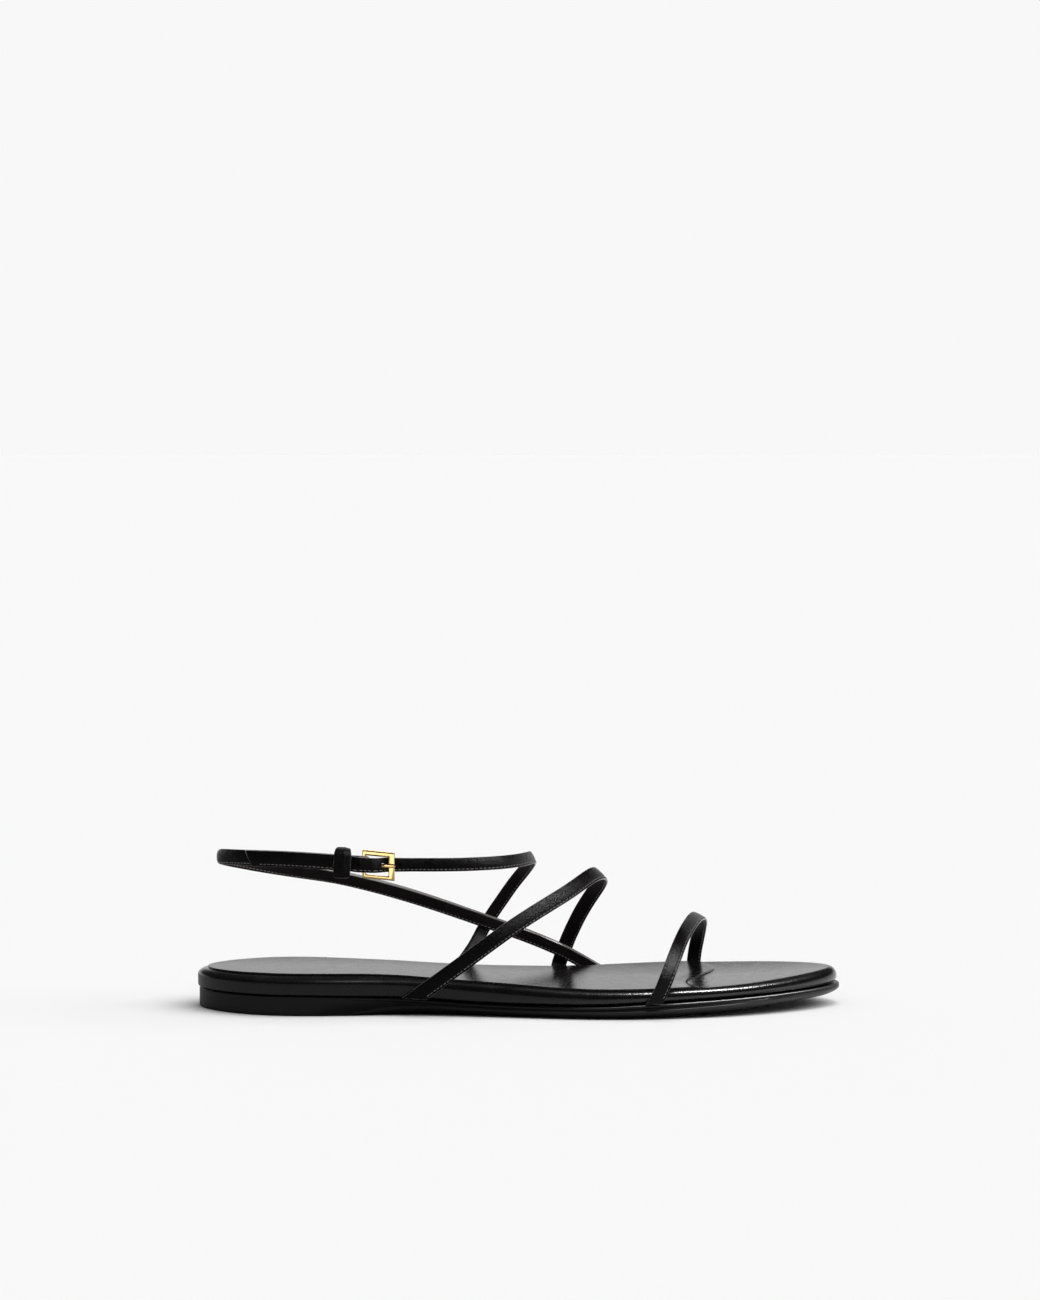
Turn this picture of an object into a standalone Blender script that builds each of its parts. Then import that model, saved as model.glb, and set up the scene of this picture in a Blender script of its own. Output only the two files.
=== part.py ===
"""A flat strappy leather sandal for the right foot, standing empty on its sole with the buckle fastened."""

import math

import bmesh
import bpy
import numpy as np

# Driving sizes in metres. X runs from heel to toe, minus Y is the outer side, Z is up from the floor.
LENGTH = 0.250
BALL_WIDTH = 0.083
HEEL_HEIGHT = 0.0148
INSTEP = 0.0584
STRAP_WIDTH = 0.006
STRAP_THICK = 0.0017
TUCKED_THICK = 0.0010
SOCK_THICK = 0.0006
SOCK_INSET = 0.0033
GAP = 0.0003
AXIS_Y = -0.0018

# The sole's outline: along in shares of the length from the heel, across in shares of the ball width from
# the heel's axis.
OUTLINE = (
    ("along", "across"),
    (0.000, 0.000),
    (0.088, -0.310),
    (0.280, -0.342),
    (0.500, -0.418),
    (0.640, -0.477),
    (0.780, -0.419),
    (0.912, -0.251),
    (1.000, 0.066),
    (0.944, 0.337),
    (0.732, 0.530),
    (0.608, 0.434),
    (0.420, 0.247),
    (0.248, 0.280),
    (0.096, 0.307),
)

# The sole's side: heights of its bottom, of the lower edge of its upright band, of the seat that the footbed
# rests on and of the footbed's top, in shares of the heel height. Then, in millimetres, how far the flat
# bottom is set in under the band, and how far the footbed's side is set in from the outsole's.
SIDE = (
    ("along", "bottom", "band", "seat", "top", "under", "set_in"),
    (0.000, 0.000, 0.036, 0.520, 1.000, 0.7, -0.6),
    (0.160, 0.000, 0.036, 0.525, 1.000, 0.7, -0.5),
    (0.235, 0.000, 0.045, 0.496, 0.993, 0.8, -0.4),
    (0.300, 0.017, 0.219, 0.464, 0.974, 2.6, -0.3),
    (0.360, 0.033, 0.248, 0.411, 0.925, 3.4, -0.2),
    (0.430, 0.020, 0.199, 0.344, 0.857, 3.4, 0.0),
    (0.500, 0.000, 0.175, 0.315, 0.789, 3.2, 0.3),
    (0.560, 0.000, 0.166, 0.311, 0.731, 3.0, 0.5),
    (0.625, 0.000, 0.166, 0.325, 0.703, 3.0, 0.7),
    (0.690, 0.030, 0.192, 0.358, 0.710, 3.0, 0.8),
    (0.830, 0.146, 0.298, 0.464, 0.781, 3.0, 0.8),
    (0.900, 0.225, 0.371, 0.508, 0.841, 3.0, 0.9),
    (1.000, 0.311, 0.457, 0.568, 0.921, 3.0, 1.0),
)

# Where each strap's inner face lies on the last. Along in shares of the length, across in shares of the ball
# width, up in shares of the instep height. Turn is the way the outer face looks, in degrees from the toe
# towards the inner side, and rise is how far it looks up. A row whose across is a side lies on the footbed's
# side wall instead, and is tucked in by the shares of a millimetre in its last column.
OUTER, INNER = "outer", "inner"
TOE_STRAP = (
    ("along", "across", "up", "turn", "rise", "tuck"),
    (0.688, OUTER, -0.010, -90, 0, 0.9),
    (0.707, OUTER, 0.125, -90, 0, 0.0),
    (0.723, -0.478, 0.282, -90, 0, 0.0),
    (0.734, -0.450, 0.402, -85, 5, 0.0),
    (0.743, -0.380, 0.485, -70, 20, 0.0),
    (0.755, -0.240, 0.543, -45, 45, 0.0),
    (0.773, 0.025, 0.569, 0, 62, 0.0),
    (0.784, 0.253, 0.520, 45, 45, 0.0),
    (0.785, 0.385, 0.440, 65, 25, 0.0),
    (0.783, 0.478, 0.335, 80, 10, 0.0),
    (0.780, 0.520, 0.225, 90, 0, 0.0),
    (0.778, INNER, 0.135, 90, 0, 0.0),
    (0.775, INNER, 0.010, 90, 0, 0.9),
)
INSTEP_STRAP = (
    ("along", "across", "up", "turn", "rise", "tuck"),
    (0.302, OUTER, 0.000, -90, 0, 0.9),
    (0.339, OUTER, 0.118, -90, 0, 0.0),
    (0.383, -0.378, 0.262, -90, 0, 0.0),
    (0.428, -0.389, 0.405, -90, 0, 0.0),
    (0.482, -0.377, 0.572, -85, 5, 0.0),
    (0.526, -0.331, 0.688, -70, 12, 0.0),
    (0.576, -0.223, 0.803, -45, 25, 0.0),
    (0.615, -0.024, 0.872, -5, 39, 0.0),
    (0.625, 0.157, 0.804, 40, 35, 0.0),
    (0.614, 0.265, 0.698, 65, 20, 0.0),
    (0.595, 0.331, 0.548, 85, 5, 0.0),
    (0.579, 0.358, 0.394, 90, 0, 0.0),
    (0.568, 0.376, 0.257, 90, 0, 0.0),
    (0.563, INNER, 0.150, 90, 0, 0.0),
    (0.556, INNER, 0.000, 90, 0, 0.9),
)
# One line winds up from the inner waist over the instep to the buckle, then round the heel and down to the
# inner ball. The ankle strap takes its first part and the heel sling its last. They lap behind the buckle.
ANKLE_LINE = (
    ("along", "across", "up", "turn", "rise", "tuck"),
    (0.368, INNER, 0.000, 90, 0, 0.9),
    (0.395, INNER, 0.150, 90, 0, 0.0),
    (0.411, 0.265, 0.240, 90, 0, 0.0),
    (0.431, 0.300, 0.362, 90, 0, 0.0),
    (0.444, 0.320, 0.462, 90, 0, 0.0),
    (0.466, 0.331, 0.610, 88, 2, 0.0),
    (0.487, 0.307, 0.748, 75, 10, 0.0),
    (0.503, 0.241, 0.850, 50, 20, 0.0),
    (0.516, 0.072, 0.964, 0, 27, 0.0),
    (0.508, -0.096, 0.990, -30, 25, 0.0),
    (0.466, -0.301, 1.002, -70, 8, 0.0),
    (0.401, -0.353, 1.000, -88, 0, 0.0),
    (0.340, -0.359, 1.000, -90, 0, 0.0),
    (0.284, -0.359, 1.002, -90, 0, 0.0),
    (0.212, -0.354, 1.020, -92, 0, 0.0),
    (0.132, -0.301, 1.032, -108, 0, 0.0),
    (0.066, -0.181, 1.020, -140, 0, 0.0),
    (0.0345, 0.000, 0.993, -180, 0, 0.0),
    (0.066, 0.171, 0.942, -220, 0, 0.0),
    (0.124, 0.253, 0.884, -248, 12, 0.0),
    (0.208, 0.308, 0.812, -265, 24, 0.0),
    (0.340, 0.337, 0.658, -270, 14, 0.0),
    (0.448, 0.329, 0.502, -270, 0, 0.0),
    (0.532, 0.345, 0.365, -270, 0, 0.0),
    (0.568, 0.365, 0.288, -268, 0, 0.0),
    (0.600, 0.425, 0.205, -262, 0, 0.0),
    (0.634, INNER, 0.115, 90, 0, 0.0),
    (0.670, INNER, 0.010, 90, 0, 0.9),
)
APEX_ROW = 8
BUCKLE_ROW = 13

# Buckle sizes: its middle is the buckle row's place, s runs forward along the strap and b up across it.
FRAME_REAR = -0.0061
FRAME_FRONT = 0.0063
FRAME_HALF_HEIGHT = 0.0054
OPENING_REAR = -0.0048
OPENING_FRONT = 0.0039
OPENING_HALF_HEIGHT = 0.0037
FRAME_THICK = 0.0013
FRAME_EDGE = 0.00025
FRAME_TILT = math.radians(-2.0)
BAR_S = (FRAME_REAR + OPENING_REAR) / 2
BAR_HALF = (OPENING_REAR - FRAME_REAR) / 2
FOLD_RADIUS = BAR_HALF + GAP + TUCKED_THICK
FOLD_END = 0.0075
FRONT_BAR_OUT = 0.0028
LAP = 2 * FOLD_RADIUS + GAP
PRONG_HALF_WIDTH = 0.0007
PRONG_HALF_THICK = 0.0005
PRONG_RADIUS = BAR_HALF + GAP + PRONG_HALF_THICK
HOLE_PITCH = 0.0077
HOLE_RADIUS = 0.00075
KEEPER_MIDDLE = 0.0135
KEEPER_WIDTH = 0.0066
KEEPER_THICK = 0.0011
KEEPER_HALF_HEIGHT = 0.0048
TIP_LINE = 0.0505
TIP_SLANT = 0.55
FUSE = 0.00025
MM = 0.001


def column(table, name):
    """The values of one named column of a table whose first row names them."""
    place = table[0].index(name)
    return [row[place] for row in table[1:]]


def cubic(knots, rows, at, closed=False):
    """A smooth cubic spline through rows at their knots; a closed one repeats its first row last."""
    knots = np.asarray(knots, float)
    rows = np.asarray(rows, float)
    steps = np.diff(knots)
    count = len(knots) - 1 if closed else len(knots)
    matrix = np.zeros((count, count))
    right = np.zeros((count, rows.shape[1]))
    for i in range(count):
        if not closed and i in (0, count - 1):
            matrix[i, i] = 1.0
            continue
        before = steps[i - 1]
        after = steps[i]
        previous = rows[i - 1] if i else rows[-2]
        matrix[i, (i - 1) % count] += before
        matrix[i, i] += 2 * (before + after)
        matrix[i, (i + 1) % count] += after
        right[i] = 6 * ((rows[i + 1] - rows[i]) / after - (rows[i] - previous) / before)
    bend = np.linalg.solve(matrix, right)
    if closed:
        bend = np.vstack([bend, bend[:1]])
    at = np.asarray(at, float)
    i = np.clip(np.searchsorted(knots, at) - 1, 0, len(steps) - 1)
    step = steps[i][:, None]
    left = (knots[i + 1] - at)[:, None]
    gone = (at - knots[i])[:, None]
    curve = (bend[i] * left**3 + bend[i + 1] * gone**3) / (6 * step)
    curve += (rows[i] / step - bend[i] * step / 6) * left
    curve += (rows[i + 1] / step - bend[i + 1] * step / 6) * gone
    return curve


def level(knots, values, at):
    """A curve through values that never overshoots them, so that flat stretches stay flat."""
    knots = np.asarray(knots, float)
    values = np.asarray(values, float)
    steps = np.diff(knots)
    rates = np.diff(values) / steps
    slopes = np.zeros(len(values))
    for i in range(1, len(values) - 1):
        if rates[i - 1] * rates[i] > 0:
            slopes[i] = 2 * rates[i - 1] * rates[i] / (rates[i - 1] + rates[i])
    slopes[0] = rates[0]
    slopes[-1] = rates[-1]
    at = np.clip(np.asarray(at, float), knots[0], knots[-1])
    i = np.clip(np.searchsorted(knots, at) - 1, 0, len(steps) - 1)
    u = (at - knots[i]) / steps[i]
    value = values[i] * (1 + 2 * u) * (1 - u) ** 2 + values[i + 1] * u**2 * (3 - 2 * u)
    return value + steps[i] * (slopes[i] * u * (1 - u) ** 2 + slopes[i + 1] * u**2 * (u - 1))


def chords(points):
    """The length run along a row of points, at each of them."""
    return np.concatenate([[0.0], np.cumsum(np.linalg.norm(np.diff(points, axis=0), axis=1))])


def evenly(points, count):
    """The same line as count points at equal steps."""
    run = chords(points)
    at = np.linspace(0.0, run[-1], count)
    return np.stack([np.interp(at, run, points[:, k]) for k in range(points.shape[1])], axis=1)


def side_value(name, x):
    """A value of the sole's side table at a place along the sole, in metres."""
    scale = MM if name in ("under", "set_in") else HEEL_HEIGHT
    return scale * level(column(SIDE, "along"), column(SIDE, name), np.asarray(x) / LENGTH + 0.5)


def sole_outline(count):
    """The outline as points from the heel's back along the outer side to the toe and back along the inner."""
    points = np.array([row for row in OUTLINE[1:]] + [OUTLINE[1]])
    points = points * (LENGTH, BALL_WIDTH) + (-LENGTH / 2, AXIS_Y)
    run = chords(points)
    dense = cubic(run, points, np.linspace(0.0, run[-1], 1441)[:-1], closed=True)
    dense = np.roll(dense, -np.argmin(dense[:, 0]), axis=0)
    toe = np.argmax(dense[:, 0])
    outer = evenly(dense[: toe + 1], count)
    inner = evenly(np.vstack([dense[toe:], dense[:1]]), count)
    return np.vstack([outer, inner[1:-1]])


def inward(ring):
    """The level direction into the shape at each point of its outline."""
    along = np.roll(ring, -1, axis=0) - np.roll(ring, 1, axis=0)
    along /= np.linalg.norm(along, axis=1)[:, None]
    return np.stack([-along[:, 1], along[:, 0]], axis=1)


def set_in(ring, inset):
    """The outline moved in by a distance, one for each point."""
    return ring + inward(ring) * np.broadcast_to(inset, len(ring))[:, None]


def material(name, colour, roughness, metallic=0.0):
    made = bpy.data.materials.new(name)
    made.use_nodes = True
    shader = made.node_tree.nodes["Principled BSDF"]
    shader.inputs["Base Color"].default_value = (*colour, 1.0)
    shader.inputs["Roughness"].default_value = roughness
    shader.inputs["Metallic"].default_value = metallic
    return made


def finish(name, shape, surface, smooth=True):
    """Makes an object of a shape, with its faces looking out."""
    bmesh.ops.recalc_face_normals(shape, faces=shape.faces)
    for face in shape.faces:
        face.smooth = smooth
    mesh = bpy.data.meshes.new(name)
    shape.to_mesh(mesh)
    shape.free()
    made = bpy.data.objects.new(name, mesh)
    bpy.context.scene.collection.objects.link(made)
    mesh.materials.append(surface)
    return made


def helper(made):
    """Keeps an object as another's cutter or joined piece only."""
    made.hide_render = True
    made.display_type = "WIRE"
    return made


def combine(target, other, operation):
    step = target.modifiers.new(operation.lower(), "BOOLEAN")
    step.operation = operation
    step.solver = "EXACT"
    step.object = helper(other)


def strips(shape, ring, upward):
    """Closes a ring with strips across it from the outer side to the inner."""
    count = len(ring)
    half = count // 2
    for i in range(half):
        corners = [ring[i], ring[i + 1], ring[(count - i - 1) % count], ring[(count - i) % count]]
        corners = list(dict.fromkeys(corners))
        shape.faces.new(corners if upward else corners[::-1])


def stacked(rings):
    """A solid whose side runs through rings from the top one, closed across its first and last."""
    shape = bmesh.new()
    made = [[shape.verts.new(point) for point in ring] for ring in rings]
    count = len(made[0])
    for upper, lower in zip(made, made[1:]):
        for i in range(count):
            after = (i + 1) % count
            shape.faces.new((upper[i], lower[i], lower[after], upper[after]))
    strips(shape, made[0], True)
    strips(shape, made[-1], False)
    return shape


for old in list(bpy.data.objects):
    bpy.data.objects.remove(old)

RING_COUNT = 43
ring = sole_outline(RING_COUNT)
x = ring[:, 0]
bottom = side_value("bottom", x)
band = side_value("band", x)
seat = side_value("seat", x)
top = side_value("top", x)
under = side_value("under", x)
wall = set_in(ring, side_value("set_in", x))

sole_leather = material("sole_leather", (0.012, 0.011, 0.011), 0.55)
wrap_leather = material("wrap_leather", (0.010, 0.009, 0.009), 0.42)
sock_leather = material("sock_leather", (0.010, 0.009, 0.009), 0.35)
strap_leather = material("strap_leather", (0.011, 0.010, 0.010), 0.45)
gold = material("gold", (0.80, 0.58, 0.24), 0.18, 1.0)


def at_height(outline, inset, height):
    return np.column_stack([set_in(outline, inset), np.broadcast_to(height, len(outline))])


# Outsole: one unit with its low heel. A lip and a fine groove run round under the seat; below its upright
# band the edge turns under to the flat bottom, and at the heel the band comes down to the floor.
outsole_rings = [
    at_height(ring, 0.0040, seat),
    at_height(ring, 0.00025, seat),
    at_height(ring, 0.0, seat - 0.0002),
    at_height(ring, 0.0, seat - 0.00065),
    at_height(ring, 0.0003, seat - 0.0009),
    at_height(ring, 0.00005, seat - 0.0012),
    at_height(ring, 0.0, band + 0.0003),
    at_height(ring, 0.00025, band),
    at_height(ring, 0.00025 + 0.45 * (under - 0.00025), band - 0.62 * (band - bottom)),
    at_height(ring, under, bottom),
]
finish("outsole", stacked(outsole_rings), sole_leather)

# Footbed: a leather-wrapped midsole whose side leans in to the seat and rolls over a round shoulder.
foot = seat + GAP
height = top - foot
SHOULDER = 0.0030
footbed_rings = []
for turn in (90, 74, 56, 34, 0):
    inset = SHOULDER * (1 - math.cos(math.radians(turn)))
    drop = 0.34 * height * (1 - math.sin(math.radians(turn)))
    footbed_rings.append(at_height(wall, inset, top - drop))
footbed_rings += [
    at_height(wall, 0.00012, foot + 0.45 * height),
    at_height(wall, 0.0005, foot + 0.0012),
    at_height(wall, 0.0009, foot + 0.0004),
    at_height(wall, 0.0015, foot),
]
finish("footbed", stacked(footbed_rings), wrap_leather)

# Sock: a thin lining on the footbed from the heel to the ball, ending in a gentle S under the toe strap.
SOCK_FRONT = (
    ("share", "along"),
    (0.00, 0.777),
    (0.22, 0.758),
    (0.50, 0.775),
    (0.78, 0.807),
    (1.00, 0.798),
)
SOCK_BLEND = 0.030
SOCK_ROWS = 25
SOCK_ACROSS = 12


def up_to(edge, front, count):
    """One side of the sock's edge as even points from the heel to its front end."""
    edge = edge[: np.argmax(edge[:, 0]) + 1]
    kept = edge[edge[:, 0] < front - 0.001]
    return evenly(np.vstack([kept, [front, np.interp(front, *edge.T)]]), count)


shares = np.linspace(0.0, 1.0, SOCK_ACROSS + 1)
sock_ring = set_in(wall, SOCK_INSET)
fronts = cubic(column(SOCK_FRONT, "share"), np.array(SOCK_FRONT[1:])[:, 1:], shares)[:, 0]
fronts = (fronts - 0.5) * LENGTH
outer_edge = up_to(sock_ring[:RING_COUNT], fronts[0], SOCK_ROWS)
inner_edge = up_to(np.vstack([sock_ring[:1], sock_ring[: RING_COUNT - 2 : -1]]), fronts[-1], SOCK_ROWS)
swing = fronts - (fronts[0] + (fronts[-1] - fronts[0]) * shares)
sock = bmesh.new()
grid = []
for i in range(SOCK_ROWS):
    nearness = max(0.0, 1 - (fronts[0] - outer_edge[i, 0]) / SOCK_BLEND) ** 2
    places = outer_edge[i] + (inner_edge[i] - outer_edge[i]) * shares[:, None]
    places[:, 0] += nearness * swing
    heights = side_value("top", places[:, 0]) + GAP
    grid.append([sock.verts.new((*place, height)) for place, height in zip(places, heights)])
for before, after in zip(grid, grid[1:]):
    for k in range(SOCK_ACROSS):
        sock.faces.new((before[k], after[k], after[k + 1], before[k + 1]))
bmesh.ops.remove_doubles(sock, verts=sock.verts, dist=0.00002)
lower = list(sock.faces)
raised = bmesh.ops.extrude_face_region(sock, geom=lower, use_keep_orig=True)["geom"]
raised = [item for item in raised if isinstance(item, bmesh.types.BMVert)]
bmesh.ops.translate(sock, verts=raised, vec=(0, 0, SOCK_THICK))
finish("sock_lining", sock, sock_leather)


# Straps: a flat band with eased edges, swept along a line with its outer face turned as the table says.
STRAP_STEP = 0.0028
FINE_STEP = 0.0012
LAP_REACH = 0.008
EASE = 0.00040


def wall_point(x, side, tuck):
    """A point on the footbed's side wall with the way that the wall looks there."""
    half = wall[:RING_COUNT] if side == OUTER else np.vstack([wall[:1], wall[: RING_COUNT - 2 : -1]])
    y = np.interp(x, half[:, 0], half[:, 1])
    ahead = np.interp(x + 0.003, half[:, 0], half[:, 1])
    behind = np.interp(x - 0.003, half[:, 0], half[:, 1])
    sign = -1.0 if side == OUTER else 1.0
    looks = np.array([-sign * (ahead - behind) / 0.006, sign, 0.0])
    looks /= np.linalg.norm(looks)
    place = np.array([x, y, 0.0]) + looks * (GAP - tuck * MM)
    return place, looks


def strap_line(table):
    """Knots, places and facings of a strap's rows."""
    places = []
    facings = []
    for along, across, up, turn, rise, tuck in table[1:]:
        x = (along - 0.5) * LENGTH
        if across in (OUTER, INNER):
            place, looks = wall_point(x, across, tuck)
            place[2] = up * INSTEP
        else:
            place = np.array([x, across * BALL_WIDTH + AXIS_Y, up * INSTEP])
            turn = math.radians(turn)
            rise = math.radians(rise)
            level_way = np.array([math.cos(turn), math.sin(turn), 0.0])
            looks = level_way * math.cos(rise) + np.array([0.0, 0.0, math.sin(rise)])
        places.append(place)
        facings.append(looks)
    return chords(np.array(places)), np.array(places), np.array(facings)


def stations(start, end, step=STRAP_STEP):
    """Even places along a strap's line from start to end."""
    return np.linspace(start, end, max(2, round((end - start) / step) + 1))


def sampled(line, at):
    """Points of a strap's line at some places along it, with the outward and the crosswise way at each."""
    knots, places, facings = line
    points = cubic(knots, places, at)
    ahead = cubic(knots, places, at + 1e-5) - cubic(knots, places, at - 1e-5)
    ahead /= np.linalg.norm(ahead, axis=1)[:, None]
    outward = np.stack([np.interp(at, knots, facings[:, k]) for k in range(3)], axis=1)
    outward -= (outward * ahead).sum(axis=1)[:, None] * ahead
    outward /= np.linalg.norm(outward, axis=1)[:, None]
    return points, outward, np.cross(ahead, outward)


def swept(points, outward, across, half_width, thick, closed=False):
    """A band of eased rectangular section along points, its inner face on them."""
    count = len(points)
    half_width = np.broadcast_to(half_width, count)
    thick = np.broadcast_to(thick, count)
    ease = np.minimum(EASE, thick * 0.3)
    shape = bmesh.new()
    rings = []
    for i in range(count):
        w, t, e = half_width[i], thick[i], ease[i]
        section = ((e - w, 0), (w - e, 0), (w, e), (w, t - e), (w - e, t), (e - w, t), (-w, t - e), (-w, e))
        rings.append([shape.verts.new(points[i] + across[i] * b + outward[i] * n) for b, n in section])
    if closed:
        rings.append(rings[0])
    for one, two in zip(rings, rings[1:]):
        for k in range(8):
            after = (k + 1) % 8
            shape.faces.new((one[k], two[k], two[after], one[after]))
    if not closed:
        shape.faces.new(rings[0])
        shape.faces.new(rings[-1][::-1])
    return shape


def seat_cut(shape, x, y):
    """Cuts a strap's end off level with the outsole's seat, where it is tucked under the footbed."""
    here = float(side_value("seat", [x])[0]) + GAP
    slope = float(side_value("seat", [x + 0.004])[0] - side_value("seat", [x - 0.004])[0]) / 0.008
    near = [f for f in shape.faces if all(abs(v.co.x - x) < 0.022 and v.co.z < 0.016 for v in f.verts)]
    near = [f for f in near if (f.calc_center_median().y > AXIS_Y) == (y > AXIS_Y)]
    geom = set(near)
    for face in near:
        geom.update(face.edges)
        geom.update(face.verts)
    bmesh.ops.bisect_plane(
        shape, geom=list(geom), plane_co=(x, y, here), plane_no=(slope, 0, -1), clear_outer=True
    )
    edges = [edge for edge in shape.edges if edge.is_boundary]
    bmesh.ops.holes_fill(shape, edges=edges)


def strap_thickness(points):
    """Full thickness above the footbed, thinned down the side wall to the tucked end."""
    share = np.clip((points[:, 2] - 0.006) / 0.010, 0.0, 1.0)
    return TUCKED_THICK + (STRAP_THICK - TUCKED_THICK) * share


def lifted_over(points, other, height):
    """How far a strap stands off where it passes over another, easing off to either side."""
    apart = np.array([np.linalg.norm(other - point, axis=1).min() for point in points])
    share = np.clip((0.0125 - apart) / 0.0080, 0.0, 1.0)
    return height * share * share * (3 - 2 * share)


# Toe strap, on its own across the ball.
toe_line = strap_line(TOE_STRAP)
points, outward, across = sampled(toe_line, stations(toe_line[0][0], toe_line[0][-1]))
toe = swept(points, outward, across, 0.92 * STRAP_WIDTH / 2, strap_thickness(points))
for end in (1, -2):
    seat_cut(toe, *toe_line[1][end][:2])
finish("toe_strap", toe, strap_leather)

# Heel sling: folded round the buckle's rear bar, round the heel and down the inner side to the ball.
ankle_line = strap_line(ANKLE_LINE)
knots = ankle_line[0]
middle = knots[BUCKLE_ROW]
at = stations(middle - BAR_S, knots[-1])
points, outward, across = sampled(ankle_line, at)
sling_points = points
fold_start, fold_out, fold_across = points[0], outward[0], across[0]
backward = np.cross(fold_out, fold_across)
fold = []
for back in (FOLD_END + BAR_S, 0.0014):
    fold.append((fold_start + backward * back + fold_out * 2 * FOLD_RADIUS, -fold_out))
for turn in range(90, -91, -20):
    looks = -backward * math.cos(math.radians(turn)) + fold_out * math.sin(math.radians(turn))
    fold.append((fold_start + fold_out * FOLD_RADIUS + looks * FOLD_RADIUS, -looks))
points = np.vstack([[place for place, looks in fold], points[1:]])
outward = np.vstack([[looks for place, looks in fold], outward[1:]])
across = np.vstack([[fold_across] * len(fold), across[1:]])
run = np.concatenate([np.zeros(len(fold)), at[1:] - at[0]])
skived = np.clip((run - 0.0035) / 0.003, 0.0, 1.0)
thick = np.minimum(strap_thickness(points), TUCKED_THICK + (STRAP_THICK - TUCKED_THICK) * skived)
sling = swept(points, outward, across, STRAP_WIDTH / 2, thick)
seat_cut(sling, *ankle_line[1][-2][:2])
sling = finish("heel_sling", sling, strap_leather)

# Ankle strap: from the inner waist over the instep, through the buckle and on over the sling to its tip.
at = np.concatenate(
    [
        stations(knots[0], middle - LAP_REACH),
        stations(middle - LAP_REACH, middle + 2 * LAP_REACH, FINE_STEP)[1:],
        stations(middle + 2 * LAP_REACH, middle + TIP_LINE)[1:],
    ]
)
points, outward, across = sampled(ankle_line, at)
lap = level(
    [-0.0600, -0.0038, 0.0025, 0.0073, 0.0103, 0.0600],
    [0.0, 0.0, LAP, LAP, STRAP_THICK + GAP, STRAP_THICK + GAP],
    at - middle,
)
rising = at < knots[APEX_ROW]
lift = lap + np.where(rising, lifted_over(points, sling_points, STRAP_THICK - FUSE), 0.0)
lift_rate = np.gradient(lift, at)
points = points + outward * lift[:, None]
ahead = np.cross(outward, across)
outward = outward - ahead * lift_rate[:, None]
outward /= np.linalg.norm(outward, axis=1)[:, None]
slant = np.clip((at - at[-1] + 2 * STRAP_STEP) / (2 * STRAP_STEP), 0.0, 1.0)
across = across + ahead * (TIP_SLANT * slant)[:, None]
width = level([-0.200, -0.012, 0.000, 0.016, 0.060], [0.84, 0.87, 0.94, 1.0, 1.0], at - middle) * STRAP_WIDTH
ankle = swept(points, outward, across, width / 2, strap_thickness(points))
seat_cut(ankle, *ankle_line[1][1][:2])
upper = finish("upper_straps", ankle, strap_leather)

# Instep strap: from the outer heel breast over the instep and down over the sling to the inner waist.
instep_line = strap_line(INSTEP_STRAP)
at = stations(instep_line[0][0], instep_line[0][-1])
points, outward, across = sampled(instep_line, at)
lift = lifted_over(points, sling_points, STRAP_THICK - FUSE)
lift = np.where(at > instep_line[0][7], lift, 0.0)
points = points + outward * lift[:, None]
instep = swept(points, outward, across, STRAP_WIDTH / 2, strap_thickness(points))
for end in (1, -2):
    seat_cut(instep, *instep_line[1][end][:2])
instep = finish("instep_strap", instep, strap_leather)


def buckle_place(s, b, n):
    """A place by the buckle: s forward from its middle, b up across the strap, n out from its line."""
    return buckle_middle - backward * s + buckle_up * b + fold_out * n


buckle_middle = ankle_line[1][BUCKLE_ROW]
buckle_up = np.array([0.0, 0.0, 1.0])


def prism(outline, low, high):
    """A straight cutter through the strap by the buckle, from an outline in s and b."""
    shape = bmesh.new()
    lower = [shape.verts.new(buckle_place(s, b, low)) for s, b in outline]
    upper = [shape.verts.new(buckle_place(s, b, high)) for s, b in outline]
    count = len(outline)
    for i in range(count):
        after = (i + 1) % count
        shape.faces.new((lower[i], lower[after], upper[after], upper[i]))
    shape.faces.new(lower[::-1])
    shape.faces.new(upper)
    return shape


def oval(s, half_length, half_width, corners=12):
    """A round-ended slot's outline along the strap."""
    outline = []
    for i in range(corners):
        turn = 2 * math.pi * (i + 0.5) / corners
        shift = math.copysign(half_length - half_width, math.cos(turn))
        outline.append((s + shift + half_width * math.cos(turn), half_width * math.sin(turn)))
    return outline


# The sling's fold is slotted for the prong, and the ankle strap is punched for it.
slot_half = PRONG_HALF_WIDTH + 1.5 * GAP
slot = [(-0.0078, -slot_half), (-0.0030, -slot_half), (-0.0030, slot_half), (-0.0078, slot_half)]
combine(sling, finish("fold_slot", prism(slot, -0.002, 0.0041), strap_leather), "DIFFERENCE")
combine(upper, sling, "UNION")
combine(upper, instep, "UNION")
prong_hole = prism(oval(0.0004, 0.0022, PRONG_HALF_WIDTH + GAP), -0.001, 0.008)
combine(upper, finish("prong_hole", prong_hole, strap_leather), "DIFFERENCE")
for place in (1, -1):
    low = -0.001 if place > 0 else LAP - 0.0001
    hole = prism(oval(place * HOLE_PITCH + 0.0006, HOLE_RADIUS, HOLE_RADIUS), low, 0.008)
    combine(upper, finish("punched_hole", hole, strap_leather), "DIFFERENCE")

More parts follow.
